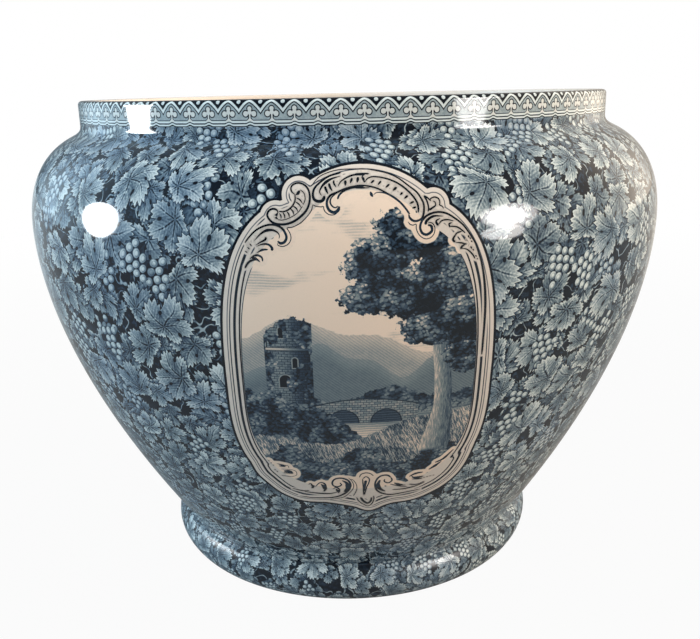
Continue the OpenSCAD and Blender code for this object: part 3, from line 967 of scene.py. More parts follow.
def picture_material(name, mirror, view):
    """A lakeside landscape in one blue ink on cream, with the manner of an engraving."""
    c, seed, water_z = colours(), view["seed"], view["shore"]
    material, net, shader = new_material(name, 0.3)
    place = net.group("Place On Pot")
    x, z = place["X"] * mirror, place["Z"]
    at = net.vector(x, z, seed * 31.0)
    grain = net.noise(at, 1.4, 3.0, 0.6)
    ragged = net.noise(at, 0.28, 3.0, 0.65) - 0.5
    slow = net.noise(at, 0.05, 2.0, 0.5) - 0.5
    foliage = net.group("Engraved Foliage", {"X": x, "Z": z, "Seed": seed})["Tone"]

    # Sky, with a few long clouds
    cloud = net.noise(net.vector(x * 0.5, z * 1.6, seed), 0.055, 3.0, 0.55)
    tone = 0.97 - net.smooth(cloud, 0.5, 0.66) * (0.1 + net.strokes(z, 1.25, slow * 8.0) * 0.16)
    # Far hills, paler the further they are
    for lift, level, swell in ((12.0, 0.7, 0.055), (0.0, 0.5, 0.09)):
        deep = (view["ridge"] + lift + net.sin(x * swell + seed) * 7.0 + net.sin(x * swell * 2.7) * 2.5
                + ragged * 3.0 - z)
        hatch = net.strokes(x * 0.8 + z, 1.5)
        tone = net.cover(tone, deep, -0.2, 0.3,
                         level + hatch * 0.1 - net.smooth(deep, 0.0, 9.0) * 0.12 + ragged * 0.14)
    # A wooded bank at the hills' foot
    wood = water_z + 15.0 + net.sin(x * 0.13 + seed * 2.0) * 4.0 + ragged * 9.0
    tone = net.cover(tone, wood - z, -0.2, 0.4, foliage * 0.62 + 0.06)
    # The lake, ruled with level strokes and with the bank's reflection
    ripple = net.strokes(z, 1.35, ragged * 5.0)
    water = 0.86 - ripple * 0.2 - net.smooth(z, water_z - 9.0, water_z + 2.0) * 0.28 + slow * 0.3
    tone = net.cover(tone, water_z + 3.0 + ragged * 1.6 - z, -0.2, 0.2, water)
    # A stone bridge of two arches
    off = x - view["bridge"]
    under_deck = water_z + 12.5 - off * off * 0.007 - z
    side = net.size(off)
    body = net.low(net.low(under_deck, z - (water_z - 1.5)), 25.0 - side)
    arch = net.away(side - 10.0, z - water_z + 1.0) - 7.2
    stones = net.node("TexBrick", {"Vector": net.vector(x, z), "Scale": 1.0, "Mortar Size": 0.16, "Brick Width": 2.6,
                                   "Row Height": 1.3, "Color1": (0.9, 0.9, 0.9, 1), "Color2": (0.66, 0.66, 0.66, 1),
                                   "Mortar": (0.3, 0.3, 0.3, 1)})
    masonry = net.out(stones) * 0.72 + (grain - 0.5) * 0.3
    tone = net.cover(tone, net.low(body, -arch), -0.2, 0.2, 0.12 + ripple * 0.16)
    tone = net.cover(tone, net.low(body, arch), -0.12, 0.12, masonry)
    tone = net.blend(net.smooth(net.size(under_deck), 0.4, 0.2) * net.smooth(side, 25.3, 25.0), tone, 0.1)
    tone = net.blend(net.smooth(net.size(arch), 0.4, 0.2) * net.smooth(body, 0.0, 0.2), tone, 0.1)
    # A ruined round tower: its wall, a ledge round it, two windows and a door
    (tower_x, half_w, rise), foot = view["tower"], water_z + 8.0
    off = x - tower_x
    broken = foot + rise + ragged * 9.0 - net.size(off - 3.0) * 0.6
    walls = net.low(half_w - net.size(off), net.low(broken - z, z - foot + 8.0))
    shaded = off / half_w
    shade = net.smooth(shaded, -0.6, 1.0)
    tone = net.cover(tone, walls, -0.12, 0.12, masonry * (0.9 - shade * 0.7))
    tone = net.cover(tone, net.size(walls), 0.36, 0.12, 0.05)
    ledge = slab(net, x, z, tower_x, foot + rise * 0.66, half_w + 0.8, 0.7)
    tone = net.cover(tone, ledge, -0.1, 0.1, 0.75 - shade * 0.5)
    tone = net.cover(tone, net.size(ledge), 0.26, 0.1, 0.08)
    for to_x, up, w in ((-3.0, rise * 0.82, 1.1), (2.8, rise * 0.5, 1.1), (-2.0, 13.0, 2.6)):
        bow = w - net.away(off - to_x, z - foot - up - 2.0)
        hole = net.high(slab(net, x, z, tower_x + to_x, foot + up, w, 2.0), bow)
        tone = net.cover(tone, net.size(hole), 0.6, 0.4, 0.6)
        tone = net.cover(tone, hole, -0.1, 0.1, -0.1)
    # Ivy hangs over it, and it stands on a bushy mound
    ivy = net.noise(net.vector(x, z * 0.6, seed + 4.0), 0.13, 2.0, 0.6)
    ivy = net.smooth(ivy + (net.size(shaded) - 0.5) * 0.12, 0.5, 0.53) * net.smooth(walls, -1.4, -1.0)
    tone = net.blend(ivy * net.smooth(z, foot + rise + 3.0, foot + rise - 1.0), tone, foliage * 0.8)
    mound = foot + 3.0 - off * off * 0.02 + ragged * 8.0 + net.smooth(net.size(x), 40.0, 55.0) * 16.0
    tone = net.cover(tone, mound - z, -0.2, 0.3, foliage * 0.7)
    # The near bank with its grass, higher on the tree's side, and low bushes before it
    middle, half = view["trunk"]
    side = math.copysign(1.0, middle)
    bank = water_z - 12.0 + net.smooth(x * side, -8.0, 44.0) * 16.0 + net.sin(x * 0.11) * 2.0 + ragged * 5.0
    blades = net.noise(net.vector(x * 2.4 + z * 0.9, z * 0.45, 5.0), 0.9, 2.0, 0.6)
    grass = 0.16 + net.smooth(blades, 0.42, 0.62) * 0.5 + net.smooth(slow, -0.1, 0.16) * 0.22
    tone = net.cover(tone, bank - z, -0.3, 0.4, grass)
    bush = water_z - 22.0 + net.sin(x * 0.17 + 1.0) * 5.0 + ragged * 12.0 + slow * 20.0
    tone = net.cover(tone, bush - z, -0.3, 0.4, foliage * 0.7)
    # The great tree: trunk, then crowns
    lean = middle + net.sin((z - 120.0) * 0.055) * 2.6 * side
    girth = half + net.smooth(z, 150.0, 118.0) * 3.4 - net.smooth(z, 150.0, 210.0) * 1.8
    over = (x - lean) / girth
    bark = net.noise(net.vector(x * 2.2 + ragged * 2.0, z * 0.3, 2.0), 0.9, 2.0, 0.6)
    trunk = net.smooth(net.size(over), 1.03, 0.97) * net.smooth(z, 116.0, 119.0) * net.smooth(z, 216.0, 206.0)
    tone = net.blend(trunk, tone, 0.5 - over * 0.24 * side + (bark - 0.5) * 0.9)
    depth, lit = crown(net, x, z, view["crowns"])
    leaves = foliage * (0.4 + lit * 0.75) - 0.08 + net.smooth(lit, 0.5, 1.1) * 0.12
    tone = net.cover(tone, depth + ragged * 11.0, -0.3, 0.5, leaves)

    tone = tone + (grain - 0.5) * 0.16
    # The scrolls keep a clear cream edge round them
    clear = net.smooth(net.attribute("scroll"), 2.1, 1.6)
    rim = net.smooth(net.attribute("inner"), 0.5, 0.2)
    tone = net.blend(rim * (1.0 - clear), tone, 0.08)
    tone = net.blend(clear, tone, 0.92 + (grain - 0.5) * 0.2)
    tone = net.blend(net.attribute("ink"), tone, 0.06 + grain * 0.1)
    glaze(net, shader, ink(net, tone, c.line, c.deep, c.haze, c.paper))
    return material


# ---------------------------------------------------------------- operators

def profile_now():
    return Profile(sizes())


class POT_OT_effects(bpy.types.Operator):
    """Build the node groups that the materials share"""
    bl_idname = "pot.effects"
    bl_label = "Shared effects"

    def execute(self, context):
        make_place_group()
        make_leaf_group()
        make_grape_group()
        make_vine_group()
        make_ink_group()
        make_foliage_group()
        make_waver_group()
        return {"FINISHED"}


class POT_OT_clay(bpy.types.Operator):
    """Give the clay sections their fired clay, and the underside its glaze"""
    bl_idname = "pot.clay"
    bl_label = "Clay body"

    def execute(self, context):
        clay = clay_material()
        for name in ("foot_ring", "floor_slab", "lower_wall", "shoulder_wall", "neck_collar"):
            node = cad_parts[name]
            node.data.materials.clear()
            node.data.materials.append(clay)
        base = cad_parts["base_glaze"]
        base.data.materials.clear()
        base.data.materials.append(cream_material("Base Glaze", 0.6))
        return {"FINISHED"}


class POT_OT_inner_glaze(bpy.types.Operator):
    """Turn the cream glaze inside the pot, from the top of the lip to the floor"""
    bl_idname = "pot.inner_glaze"
    bl_label = "Inner glaze"

    def execute(self, context):
        face, t = profile_now().inner, sizes().skin_t / MM
        under = face + t * left_of(face)
        under[0], under[-1] = face[0] - (0, t), face[-1] - (0, t)
        floor_z, rings = face[-1][1], (0, 12, 30, 50, 70)
        section = np.vstack([
            [[r, floor_z] for r in rings], face[::-1], under, [[r, floor_z - t] for r in rings[::-1]]])
        piece = turned("inner_glaze_coat", section, 0, 360, 160, cream_material("Inner Glaze", 1.0))
        # Edges that turn by more than this, in radians, stay sharp
        sharp = 0.6
        bm = bmesh.new()
        bm.from_mesh(piece.data)
        for edge in bm.edges:
            edge.smooth = not (edge.is_manifold and edge.calc_face_angle() > sharp)
        bm.to_mesh(piece.data)
        bm.free()
        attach(piece, "root")
        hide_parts("inner_glaze")
        return {"FINISHED"}


class POT_OT_foot(bpy.types.Operator):
    """Turn the printed band round the roll foot"""
    bl_idname = "pot.foot"
    bl_label = "Foot print"

    def execute(self, context):
        s, profile = sizes(), profile_now()
        section = profile.section(s.bare_h / MM, s.waist_z / MM, 1.0, 0.9)
        piece = turned("foot_print_band", section, 0, 360, 240, vine_material("Foot Vine Glaze", -0.02, 0.32))
        put_attribute(piece.data, "panel_away", NO_PANEL)
        finish_skin(piece, profile, "foot_print")
        return {"FINISHED"}


class POT_OT_vine(bpy.types.Operator):
    """Turn the four vine sheets, and cut the panels' places out of the front and back ones"""
    bl_idname = "pot.vine"
    bl_label = "Vine sheets"

    def execute(self, context):
        s, profile = sizes(), profile_now()
        section = profile.section(s.waist_z / MM, (s.height - s.border_h) / MM, 2.6, 1.1)
        material = vine_material("Vine Glaze", 0.0, 0.07)
        shapes = frame_shapes()
        for side, start in (("front", -45), ("right", 45), ("back", 135), ("left", 225)):
            piece = turned("vine_sheet_" + side, section, start, 90, 60, material)
            away = NO_PANEL
            if side in ("front", "back"):
                back = side == "back"
                cut_away(piece, [prism(f"cutter_{i}", shape, back) for i, shape in enumerate(shapes)])
                co = points_of(piece.data) / MM
                away = -depth_in_any(np.c_[(-1 if back else 1) * co[:, 0], co[:, 2]], shapes)
            put_attribute(piece.data, "panel_away", away)
            finish_skin(piece, profile, "vine_print_" + side)
        return {"FINISHED"}


class POT_OT_border(bpy.types.Operator):
    """Turn the arcade border round the collar and over the lip's edge"""
    bl_idname = "pot.border"
    bl_label = "Arcade border"

    def execute(self, context):
        s, profile = sizes(), profile_now()
        low, high = (s.height - s.border_h) / MM, s.height / MM
        piece = turned("arcade_border", profile.section(low, high, 1.0, 0.45), 0, 360, 288, border_material())
        z = points_of(piece.data)[:, 2] / MM
        along = np.interp(z, profile.z, profile.along)
        turnover = 0.15      # the border ends so far below the lip's top, in millimetres
        first, last = np.interp([low, high - turnover], profile.z, profile.along)
        put_attribute(piece.data, "band", 1 - (along - first) / (last - first))
        finish_skin(piece, profile, "border_print")
        return {"FINISHED"}


# Brush strokes of the scroll frame: half-widths at start, middle and end | points across and up, in millimetres
SCROLL_STROKES = (
    # Scrolls at the upper left corner
    "0.28 0.42 0.35 | -26.2,246.1 -27.5,247.2 -27.8,248.7 -26.8,250 -24.5,250.6 -22.1,249.8 -20.5,248 -19.9,245.3"
    " -20.3,242.3 -21.7,239.5 -24.2,237.1 -27.2,235.2 -30.5,234.2 -33.7,234.2 -36.3,235.1 -37.9,237 -38.1,238.5"
    " -37.1,239.9 -35.5,240.4 -34,239.9 -33.5,238.7",
    "0.24 0.31 0.24 | -26.2,246.1 -26.1,244.1 -27,242 -28.7,240.3 -31,239.3 -33.2,239.4",
    "0.14 0.56 0.35 | -25.9,245.8 -24.9,246.5 -24.1,247.6",
    "0.17 0.17 0.17 | -23.9,247.9 -22.3,246.5 -21.9,244.1 -22.8,242",
    "0.28 0.56 0.21 | -33.6,238.7 -34.4,237.7 -34.6,237.1 -33.7,236.2",
    "0.17 0.14 0.14 | -33.7,236 -31.4,235.9 -28.1,237 -25.1,238.9 -23.1,241.4",
    "0.17 0.28 0.1 | -25.6,244.7 -24.2,244 -22.9,242.3",
    "0.17 0.28 0.1 | -26.1,243.2 -24.7,242.3 -23.6,240.8",
    "0.17 0.28 0.1 | -27.2,241.6 -25.7,240.5 -25.1,239.1",
    "0.17 0.28 0.1 | -28.3,240.5 -27.2,239.3 -26.8,237.7",
    "0.17 0.28 0.1 | -29.8,239.4 -29,238.2 -28.8,236.8",
    "0.17 0.28 0.1 | -31.5,239 -30.8,237.7 -30.7,236.3",
    "0.17 0.28 0.1 | -32.9,238.7 -32.3,237.4 -32.4,236.3",
    "0.17 0.17 0.17 | -18.8,241.9 -19.5,239.5 -21.7,236.8 -24.7,234.3 -27.9,232.9 -29.9,232.6 -28.8,230.6 -28.4,228.3"
    " -29.5,226.1 -31.8,225 -33.9,225.4 -34.3,226.4",
    "0.17 0.17 0.17 | -18.8,241.9 -17.3,241.3 -15.1,241 -14.4,241.3 -13.9,239.4 -12.3,238 -10.4,237.7 -8.8,238.3",
    "0.28 0.35 0.49 | -48.2,226.4 -46.1,229 -43.3,231.6 -40,233.3 -36.7,234 -33.7,233.5 -31.7,232.1 -30.5,229.9"
    " -30.4,228.2 -31.4,226.7 -33,226.3 -34.1,227.2",
    "0.14 0.49 0.1 | -33.5,228.2 -33.3,229.6 -34.3,231 -36.4,231.8 -39,231.5 -41.6,229.9 -44.1,227.3",
    "0.1 0.28 0.42 | -43.6,225.4 -41.5,226.7 -39.5,227.7 -39,228.8",
    "0.1 0.35 0.49 | -43.3,224.9 -40.6,225.9 -38,225.7 -36.6,224.2 -36.9,223.2",
    "0.1 0.42 0.28 | -43.4,222.1 -40.7,223.5 -38.4,223.6",
    "0.14 0.42 0.28 | -46.5,219.4 -44.8,220.8 -42.8,221.1 -41.2,220.2 -40.9,218.5",
    "0.35 0.49 0.1 | -46,220.1 -44.2,219.8 -42.2,218.8",
    "0.21 0.21 0.21 | -46.2,226 -45.4,225",
    "0.21 0.21 0.21 | -47.3,224.5 -46.3,223.7",
    "0.21 0.21 0.21 | -48.3,222.8 -47.4,222.2",
    "0.35 0.42 0.21 | -48.8,215.4 -47.6,217.4 -45.9,218.8 -43.6,219.2 -42,218.2",
    # Crest
    "0.28 0.35 0.56 | -6.5,254.3 -11.4,253.1 -15.1,250.9 -17.7,248.6 -18.6,246.2 -18.2,244.2 -16.8,243.3 -14.9,243.4"
    " -13.9,244.6 -14,245.4",
    "0.1 0.49 0.14 | -6.6,253 -10.5,252 -13.5,250.3 -15.3,248.2 -15.7,246.7 -14.9,245.5",
    "0.28 0.31 0.17 | 3.7,253.3 -1.1,253.3 -4.4,252.2 -6.7,250.8 -7.9,249",
    "0.42 0.42 0.21 | -13.5,249.1 -12.9,247.6 -12.2,246.1",
    "0.42 0.42 0.21 | -11.7,250.3 -11.3,248.8 -10.4,247.2",
    "0.31 0.31 0.17 | -9.6,251.4 -9.6,250.2 -8.7,248.7",
    "0.56 0.49 0.28 | -4.7,251.3 -4.8,249.2",
    "0.49 0.42 0.21 | -1.8,252.1 -2.7,250.1",
    "0.56 0.49 0.28 | 0.8,252.4 0.2,250.3",
    "0.42 0.35 0.21 | 2.9,252.3 3.3,250.5",
    "0.28 0.35 0.56 | 3.5,248.9 -1.3,248.8 -4.9,248 -8.5,246.6 -11.1,245.6 -12.6,243.7 -12.8,241.5 -11.8,239.5"
    " -9.9,238.7 -8.3,239.5 -7.6,241.1",
    "0.21 0.31 0.17 | -8.2,241.3 -9.2,240.6 -10.6,241.2 -11.4,242.7 -11,244.4 -9.3,245.9 -8.5,246.3",
    "0.35 0.28 0.17 | -8.3,243.9 -7.4,245.7 -4.9,247.4 -1.3,248.3 3.5,248.3",
    "0.14 0.17 0.14 | 3.9,255.6 -6.5,255.5 -12.7,254.2 -16.3,252.4 -18.7,249.8 -19.2,249.2",
    "0.28 0.28 0.28 | 5.4,253.6 2.8,253.7 -0.5,253.6",
    "0.28 0.28 0.21 | 3.5,250.2 3,251.1 2.5,252.3 3.2,253.4",
    "0.21 0.31 0.35 | 3.6,250.4 4.6,251.7 6.9,252.4 10.2,252.1 14,251.1 17.5,249.5 20.6,247.3 23.5,244.4 25.3,241.6"
    " 25.8,239.1 25.6,237.6",
    "0.21 0.28 0.42 | 4.9,255.5 12.6,253.8 17.7,251.6 22,248.4 25.2,245.9 27,243.4 28.1,240.9 28.1,237.8 27.3,235.3"
    " 25.3,234.2 23.4,234.3 21.9,235.6 21.6,237",
    "0.35 0.35 0.21 | 7.5,251 6,249.9",
    "0.35 0.35 0.21 | 10.4,250.6 9,249.2",
    "0.35 0.35 0.21 | 13.9,249.3 12.2,248",
    "0.49 0.42 0.28 | 16.9,248 15.2,246.7",
    "0.42 0.35 0.21 | 19.3,245.8 18.2,244.9",
    "0.45 0.38 0.21 | 21.5,244.5 19.9,243.4",
    "0.35 0.35 0.21 | 24,242 22.1,241.3",
    "0.35 0.35 0.21 | 24.9,239.8 23.1,239.4",
    "0.49 0.42 0.28 | 25.1,237.9 24.5,237.8",
    "0.28 0.28 0.21 | -0.7,249.1 2.5,249.1 5.4,248.7 8.9,247.7 12.7,245.7 16.5,243.5 19.3,240.9 21.2,238.4"
    " 22.1,237.1",
    "0.21 0.21 0.14 | -0.8,248.2 3.1,248.1 5.4,248.2",
    "0.28 0.56 0.28 | 5.6,246.6 6.1,245.3 6.7,244.6",
    "0.14 0.31 0.35 | 6.9,245.3 8.5,246.2 11.8,245.8 14.9,244.3 18.1,241.9 20.6,239 21.8,237.1",
    # Scrolls at the upper right corner
    "0.17 0.17 0.17 | 21.1,234 22,232.9 23.3,232.5 24.6,232.8 24.6,231.1 25.5,228.8 27.2,227.1 29.1,226.5 31.2,227.2"
    " 32.5,229.1 32.6,231.3 31.6,232.9 29.9,233.3",
    "0.28 0.35 0.49 | 50.5,224 47.5,228.4 44.8,231.8 41.4,234.5 38.1,236.5 34.7,237.3 31.7,237 29,235.9 27,233.8"
    " 26.3,231.3 27.2,229 29.2,228.3 31.2,229.5 31.4,231 30.7,232 29.6,232.1",
    "0.49 0.42 0.1 | 28.6,232.4 29,233.7 30.3,234.9 32.7,235.8 36.4,235.5",
    "0.14 0.35 0.49 | 35,234.6 33.6,234 33.3,233.1 34.3,231.8",
    "0.21 0.28 0.14 | 34.6,232.4 35.6,233.6 38,234 41,233.3",
    "0.17 0.35 0.28 | 40.3,232.6 39,232.2 39.3,230.7",
    "0.21 0.28 0.21 | 39.3,231.2 42.4,230.7 44.7,229.2 46.1,227.9",
    "0.1 0.31 0.17 | 45.1,228.9 43,228.4 41.6,227.9",
    "0.14 0.35 0.42 | 43,228.7 41.3,226.9 40.6,225.3 41.6,224.5",
    "0.1 0.28 0.21 | 41.6,224.3 44.4,223.8 46.8,223.1",
    "0.14 0.42 0.42 | 46.4,223.3 44.7,222.4 44,221.2",
    "0.14 0.28 0.28 | 44,221.5 46.8,220.9 49.2,218.8 50.6,216.6",
    "0.31 0.31 0.17 | 47.5,226.9 47.8,225.8",
    "0.31 0.31 0.17 | 48.5,222 49.2,220.9",
    "0.35 0.28 0.28 | 28.4,244.2 29.6,242 30.2,239.2 29.9,237.7",
    "0.28 0.28 0.21 | 28.4,244.2 30,243.2 31.3,241.9",
    "0.21 0.28 0.21 | 30.9,242 31.3,242.9 33,243.4 34.7,242.7 35.2,241.1 34.9,239.9",
    "0.17 0.28 0.42 | 32.3,241.9 33.2,241.2 33.2,240 31.8,239.1 30.4,238.3",
    "0.21 0.21 0.14 | 34.9,240.2 36.2,239.5 36.8,238.6",
    # Shading down the right side
    "0.28 0.5 0.4 | 47.7,227.8 50.5,223.7 52.3,218.9 53.8,214.1 55.1,207.4 55.9,200.2 56.3,192.2 56.3,184 56.2,176"
    " 56.15,170",
    "0.28 0.24 0.21 | 48.1,225.9 48.6,225.2",
    "0.28 0.24 0.21 | 48.8,224.5 49.3,223.8",
    "0.28 0.24 0.21 | 49.5,220.8 50,220.1",
    "0.28 0.24 0.21 | 50.8,218 51.3,217.3",
    "0.28 0.24 0.21 | 51.5,216.6 51.8,216.1",
    # Shell and scrolls at the bottom
    "0.28 0.28 0.28 | 1.1,100.6 2.7,102.2 4.4,100.4 4.2,97.6 3.1,94.2 2.2,89.5 1.8,88.7 1.5,93.7 1.2,97.8 1.1,100.6",
    "0.63 0.49 0.14 | 2.7,99.4 2.3,96 2,91.3",
    "0.21 0.28 0.21 | -0.6,101.8 0.3,104 2.6,104.9 4.9,104.2 6.5,102.4",
    "0.24 0.24 0.24 | -1.9,86.8 -0.7,83.7 2.1,80.7 4.1,79.6 6.1,81.4 7,84.9 6.8,87.4",
    "0.49 0.56 0.35 | 0.1,86.7 1.7,83.6 3.7,81.9 5.3,83.3 5.8,86.3",
    "0.21 0.49 0.35 | -31,87.4 -25.1,86.6 -19.2,86.6 -14.1,87 -9.7,88.8 -6.6,91.7 -5,95.8 -5.8,99.2 -7.7,100.9"
    " -10.3,101.6 -13,100.7 -14.2,98.2 -13.5,95.9 -11.2,95.3 -9.6,96.7 -10.4,98.2",
    "0.17 0.17 0.17 | -15.3,85.5 -9,87 -5.4,90.6 -3.5,94.6 -3.8,98 -5.4,100.9 -6.1,101.5",
    "0.17 0.17 0.17 | -3.5,88.1 -1.9,92.8 -2.1,96.8 -3.5,99.7 -5,100.9",
    "0.21 0.35 0.28 | -26.2,96.6 -25,97.3 -24.2,95 -24.8,93.8",
    "0.17 0.42 0.42 | -22.8,95.1 -20.4,98.1 -18.1,97.5 -17.4,94.1 -18.6,91.7",
    "0.17 0.42 0.21 | -13.9,93.6 -12.4,94.7 -10.8,93.6 -10.5,91.3",
    "0.42 0.42 0.21 | 15.4,100.4 13.4,102.3 10.3,102.1 8.1,99.5 7.4,95.6 8.6,91.4 11.9,88.6 16.3,87.5 22.2,88.1"
    " 31,89.2",
    "0.35 0.35 0.28 | 15.4,100.4 15.9,98.1 14,96.6 12,98 12.3,99.6",
    "0.21 0.35 0.14 | 15.6,95.3 20,93.5 24,92.3",
    "0.17 0.24 0.17 | 25.2,100.7 27.7,98.6 30.3,99.3",
    # Spurs and beads up the lower sides
    "0.31 0.35 0.28 | -40.4,108.9 -37,108.7",
    "0.14 0.14 0.14 | -41.5,110.4 -38.1,109.7 -35.8,109.4 -35.5,107.8",
    "0.31 0.35 0.28 | -38.4,104.2 -35.7,104.2 -33.4,104.1",
    "0.14 0.14 0.14 | -39.4,106.8 -34.8,106.8 -32.2,105.9 -31.9,103.1 -34.7,101.8 -39.4,102.1",
    "0.31 0.31 0.31 | -45.4,112.2 -45,112",
    "0.31 0.31 0.31 | -44.4,110.7 -44,110.5",
    "0.31 0.31 0.31 | -43.3,109.2 -42.9,109",
    "0.31 0.31 0.31 | -42.8,106 -42.4,105.8",
    "0.31 0.31 0.31 | -41.7,104.8 -41.3,104.6",
    "0.35 0.56 0.21 | 37.6,107.7 41.9,109.7 46.6,115.1",
    "0.28 0.56 0.28 | 24.7,99.8 27.7,101.5 31.7,101.9",
    "0.21 0.35 0.21 | 26,97.8 29.2,97.3 31.6,97.4",
    "0.24 0.24 0.24 | 32.5,97.7 32.9,97.7",
    "0.24 0.24 0.24 | 34.1,98 34.5,98",
    "0.24 0.24 0.24 | 35.7,98.2 36.1,98.2",
    "0.24 0.24 0.24 | 37.3,98.4 37.7,98.4",
    "0.28 0.28 0.21 | 25,94 29,93.3 32.9,94.8",
    "0.21 0.21 0.21 | 15,95.5 18.2,94.5 23,93.7",
    "0.3 0.85 0.3 | -20,97 -18.6,95.6 -18.3,93",
    "0.3 0.7 0.2 | -24.8,96.6 -23.9,95.4 -24.1,93.8",
    "0.3 0.7 0.2 | -12.4,93.6 -11.4,92 -10.9,90.4",
    "0.3 0.95 0.4 | -9.2,99.9 -6.9,97.8 -6.6,94.4 -8.2,91.2",
    "0.2 0.4 0.2 | -28.5,91 -22,90.2 -16,90 -11.5,91.2",
    "0.2 0.3 0.2 | -34.5,92.8 -29,91.6 -26,92",
    "0.4 1.0 0.3 | 9.9,99.2 8.9,96 9.8,92.8 12.6,90.5",
    "0.3 0.6 0.2 | 17,96.2 19.8,94.8 21.8,94.2",
    "0.2 0.4 0.2 | 16.5,91.2 22,91 28,92 33,94",
    "0.3 0.8 0.3 | 26,99.2 28.6,98.4 32,98.9",
    "0.3 0.7 0.2 | 34.5,103.2 37.5,105.2 41,108",
    "0.4 0.8 0.4 | -38.2,105.4 -35.4,105.5 -33.6,104.6",
    "0.2 0.5 0.2 | -41,110.4 -38.6,109.6 -36.4,109.6",
)


def stroke_shape(line):
    """One brush stroke, from its half-widths at start, middle and end and the points it runs through: its outline,
    the short quads it is made of, and its centre line with the half-width at each point."""
    widths, places = line.split("|")
    start, middle, end = (float(w) * panel().line_weight for w in widths.split())
    pts = np.array([[float(v) for v in p.split(",")] for p in places.split()])
    shortest = 0.4      # a stroke that runs less far than this is a round dot
    if len(pts) == 2 and np.hypot(*(pts[1] - pts[0])) < shortest:
        ring = pts[0] + middle * np.array([unit(a) for a in range(0, 360, 40)])
        return ring, [ring], pts[:1], np.array([middle])
    pts = smooth_line(pts, 0.6)
    run = np.r_[0, np.cumsum(np.hypot(*np.diff(pts, axis=0).T))]
    tip = 0.04      # the share of its run in which each end narrows to half
    half = np.interp(run / run[-1], [0, tip, 0.5, 1 - tip, 1], [start * 0.5, start, middle, end, end * 0.5])
    across = left_of(pts) * half[:, None]
    left, right = pts + across, pts - across
    quads = [np.array([right[i], right[i + 1], left[i + 1], left[i]]) for i in range(len(pts) - 1)]
    return np.vstack([right, left[::-1]]), quads, pts, half


def inside_any(points, quads):
    """True for each point that lies in one of some small convex shapes."""
    found = np.zeros(len(points), bool)
    order = np.argsort(points[:, 0])
    xs = points[order, 0]
    for quad in quads:
        a, b = np.searchsorted(xs, (quad[:, 0].min(), quad[:, 0].max()))
        pick = order[a:b]
        near = points[pick]
        keep = (near[:, 1] >= quad[:, 1].min()) & (near[:, 1] <= quad[:, 1].max())
        pick, near = pick[keep], near[keep]
        nxt = np.roll(quad, -1, axis=0)
        turns = [(q[0] - p[0]) * (near[:, 1] - p[1]) - (q[1] - p[1]) * (near[:, 0] - p[0]) for p, q in zip(quad, nxt)]
        found[pick] |= np.all([t >= 0 for t in turns], axis=0) | np.all([t <= 0 for t in turns], axis=0)
    return found


def panel_sheets():
    """One panel drawn flat: its points across and up, and the triangles of its frame and of its picture, each with
    whether it lies in a stroke."""
    outer, inner = frame_shapes(), picture_shapes()
    drawn = [stroke_shape(line)[:2] for line in SCROLL_STROKES]
    coords, faces, edges = [], [], []
    for shape in outer + inner:
        area = sum(a[0] * b[1] - b[0] * a[1] for a, b in zip(shape, shape[1:] + shape[:1]))
        faces.append(list(range(len(coords), len(coords) + len(shape))))
        coords += shape if area > 0 else shape[::-1]
    for ring, _ in drawn:
        first = len(coords)
        coords += list(ring)
        edges += [(first + i, first + (i + 1) % len(ring)) for i in range(len(ring))]
    # Points in staggered rows over the whole panel, so that the sheets bend with the pot
    pitch, squash = 1.5, 0.87
    for j, z in enumerate(np.arange(72, 260, pitch * squash)):
        coords += [(x, z) for x in np.arange(-63, 64, pitch) + (j % 2) * pitch / 2]
    coords = [Vector((float(x), float(z))) for x, z in coords]
    verts, _, tris, _, _, origins = delaunay_2d_cdt(coords, edges, faces, 1, 1e-4)
    flat = np.array([v[:] for v in verts])
    middles = flat[np.array([tri[:3] for tri in tris])].mean(axis=1)
    sheets = {"frame": [], "picture": []}
    for tri, origin, dark in zip(tris, origins, inside_any(middles, [quad for _, quads in drawn for quad in quads])):
        if any(o < len(outer) for o in origin):
            kind = "picture" if any(o >= len(outer) for o in origin) else "frame"
            sheets[kind].append((tri, float(dark)))
    return flat, sheets


def from_strokes(places):
    """How far places on the flat panel lie from the edge of the nearest stroke, negative in it."""
    lines = [stroke_shape(line)[2:] for line in SCROLL_STROKES]
    centres = np.vstack([pts for pts, _ in lines])
    widths = np.concatenate([half for _, half in lines])
    tree = KDTree(len(centres))
    for k, (x, z) in enumerate(centres):
        tree.insert((x, z, 0), k)
    tree.balance()
    return [min(distance - widths[k] for _, k, distance in tree.find_n((x, z, 0), 8)) for x, z in places]


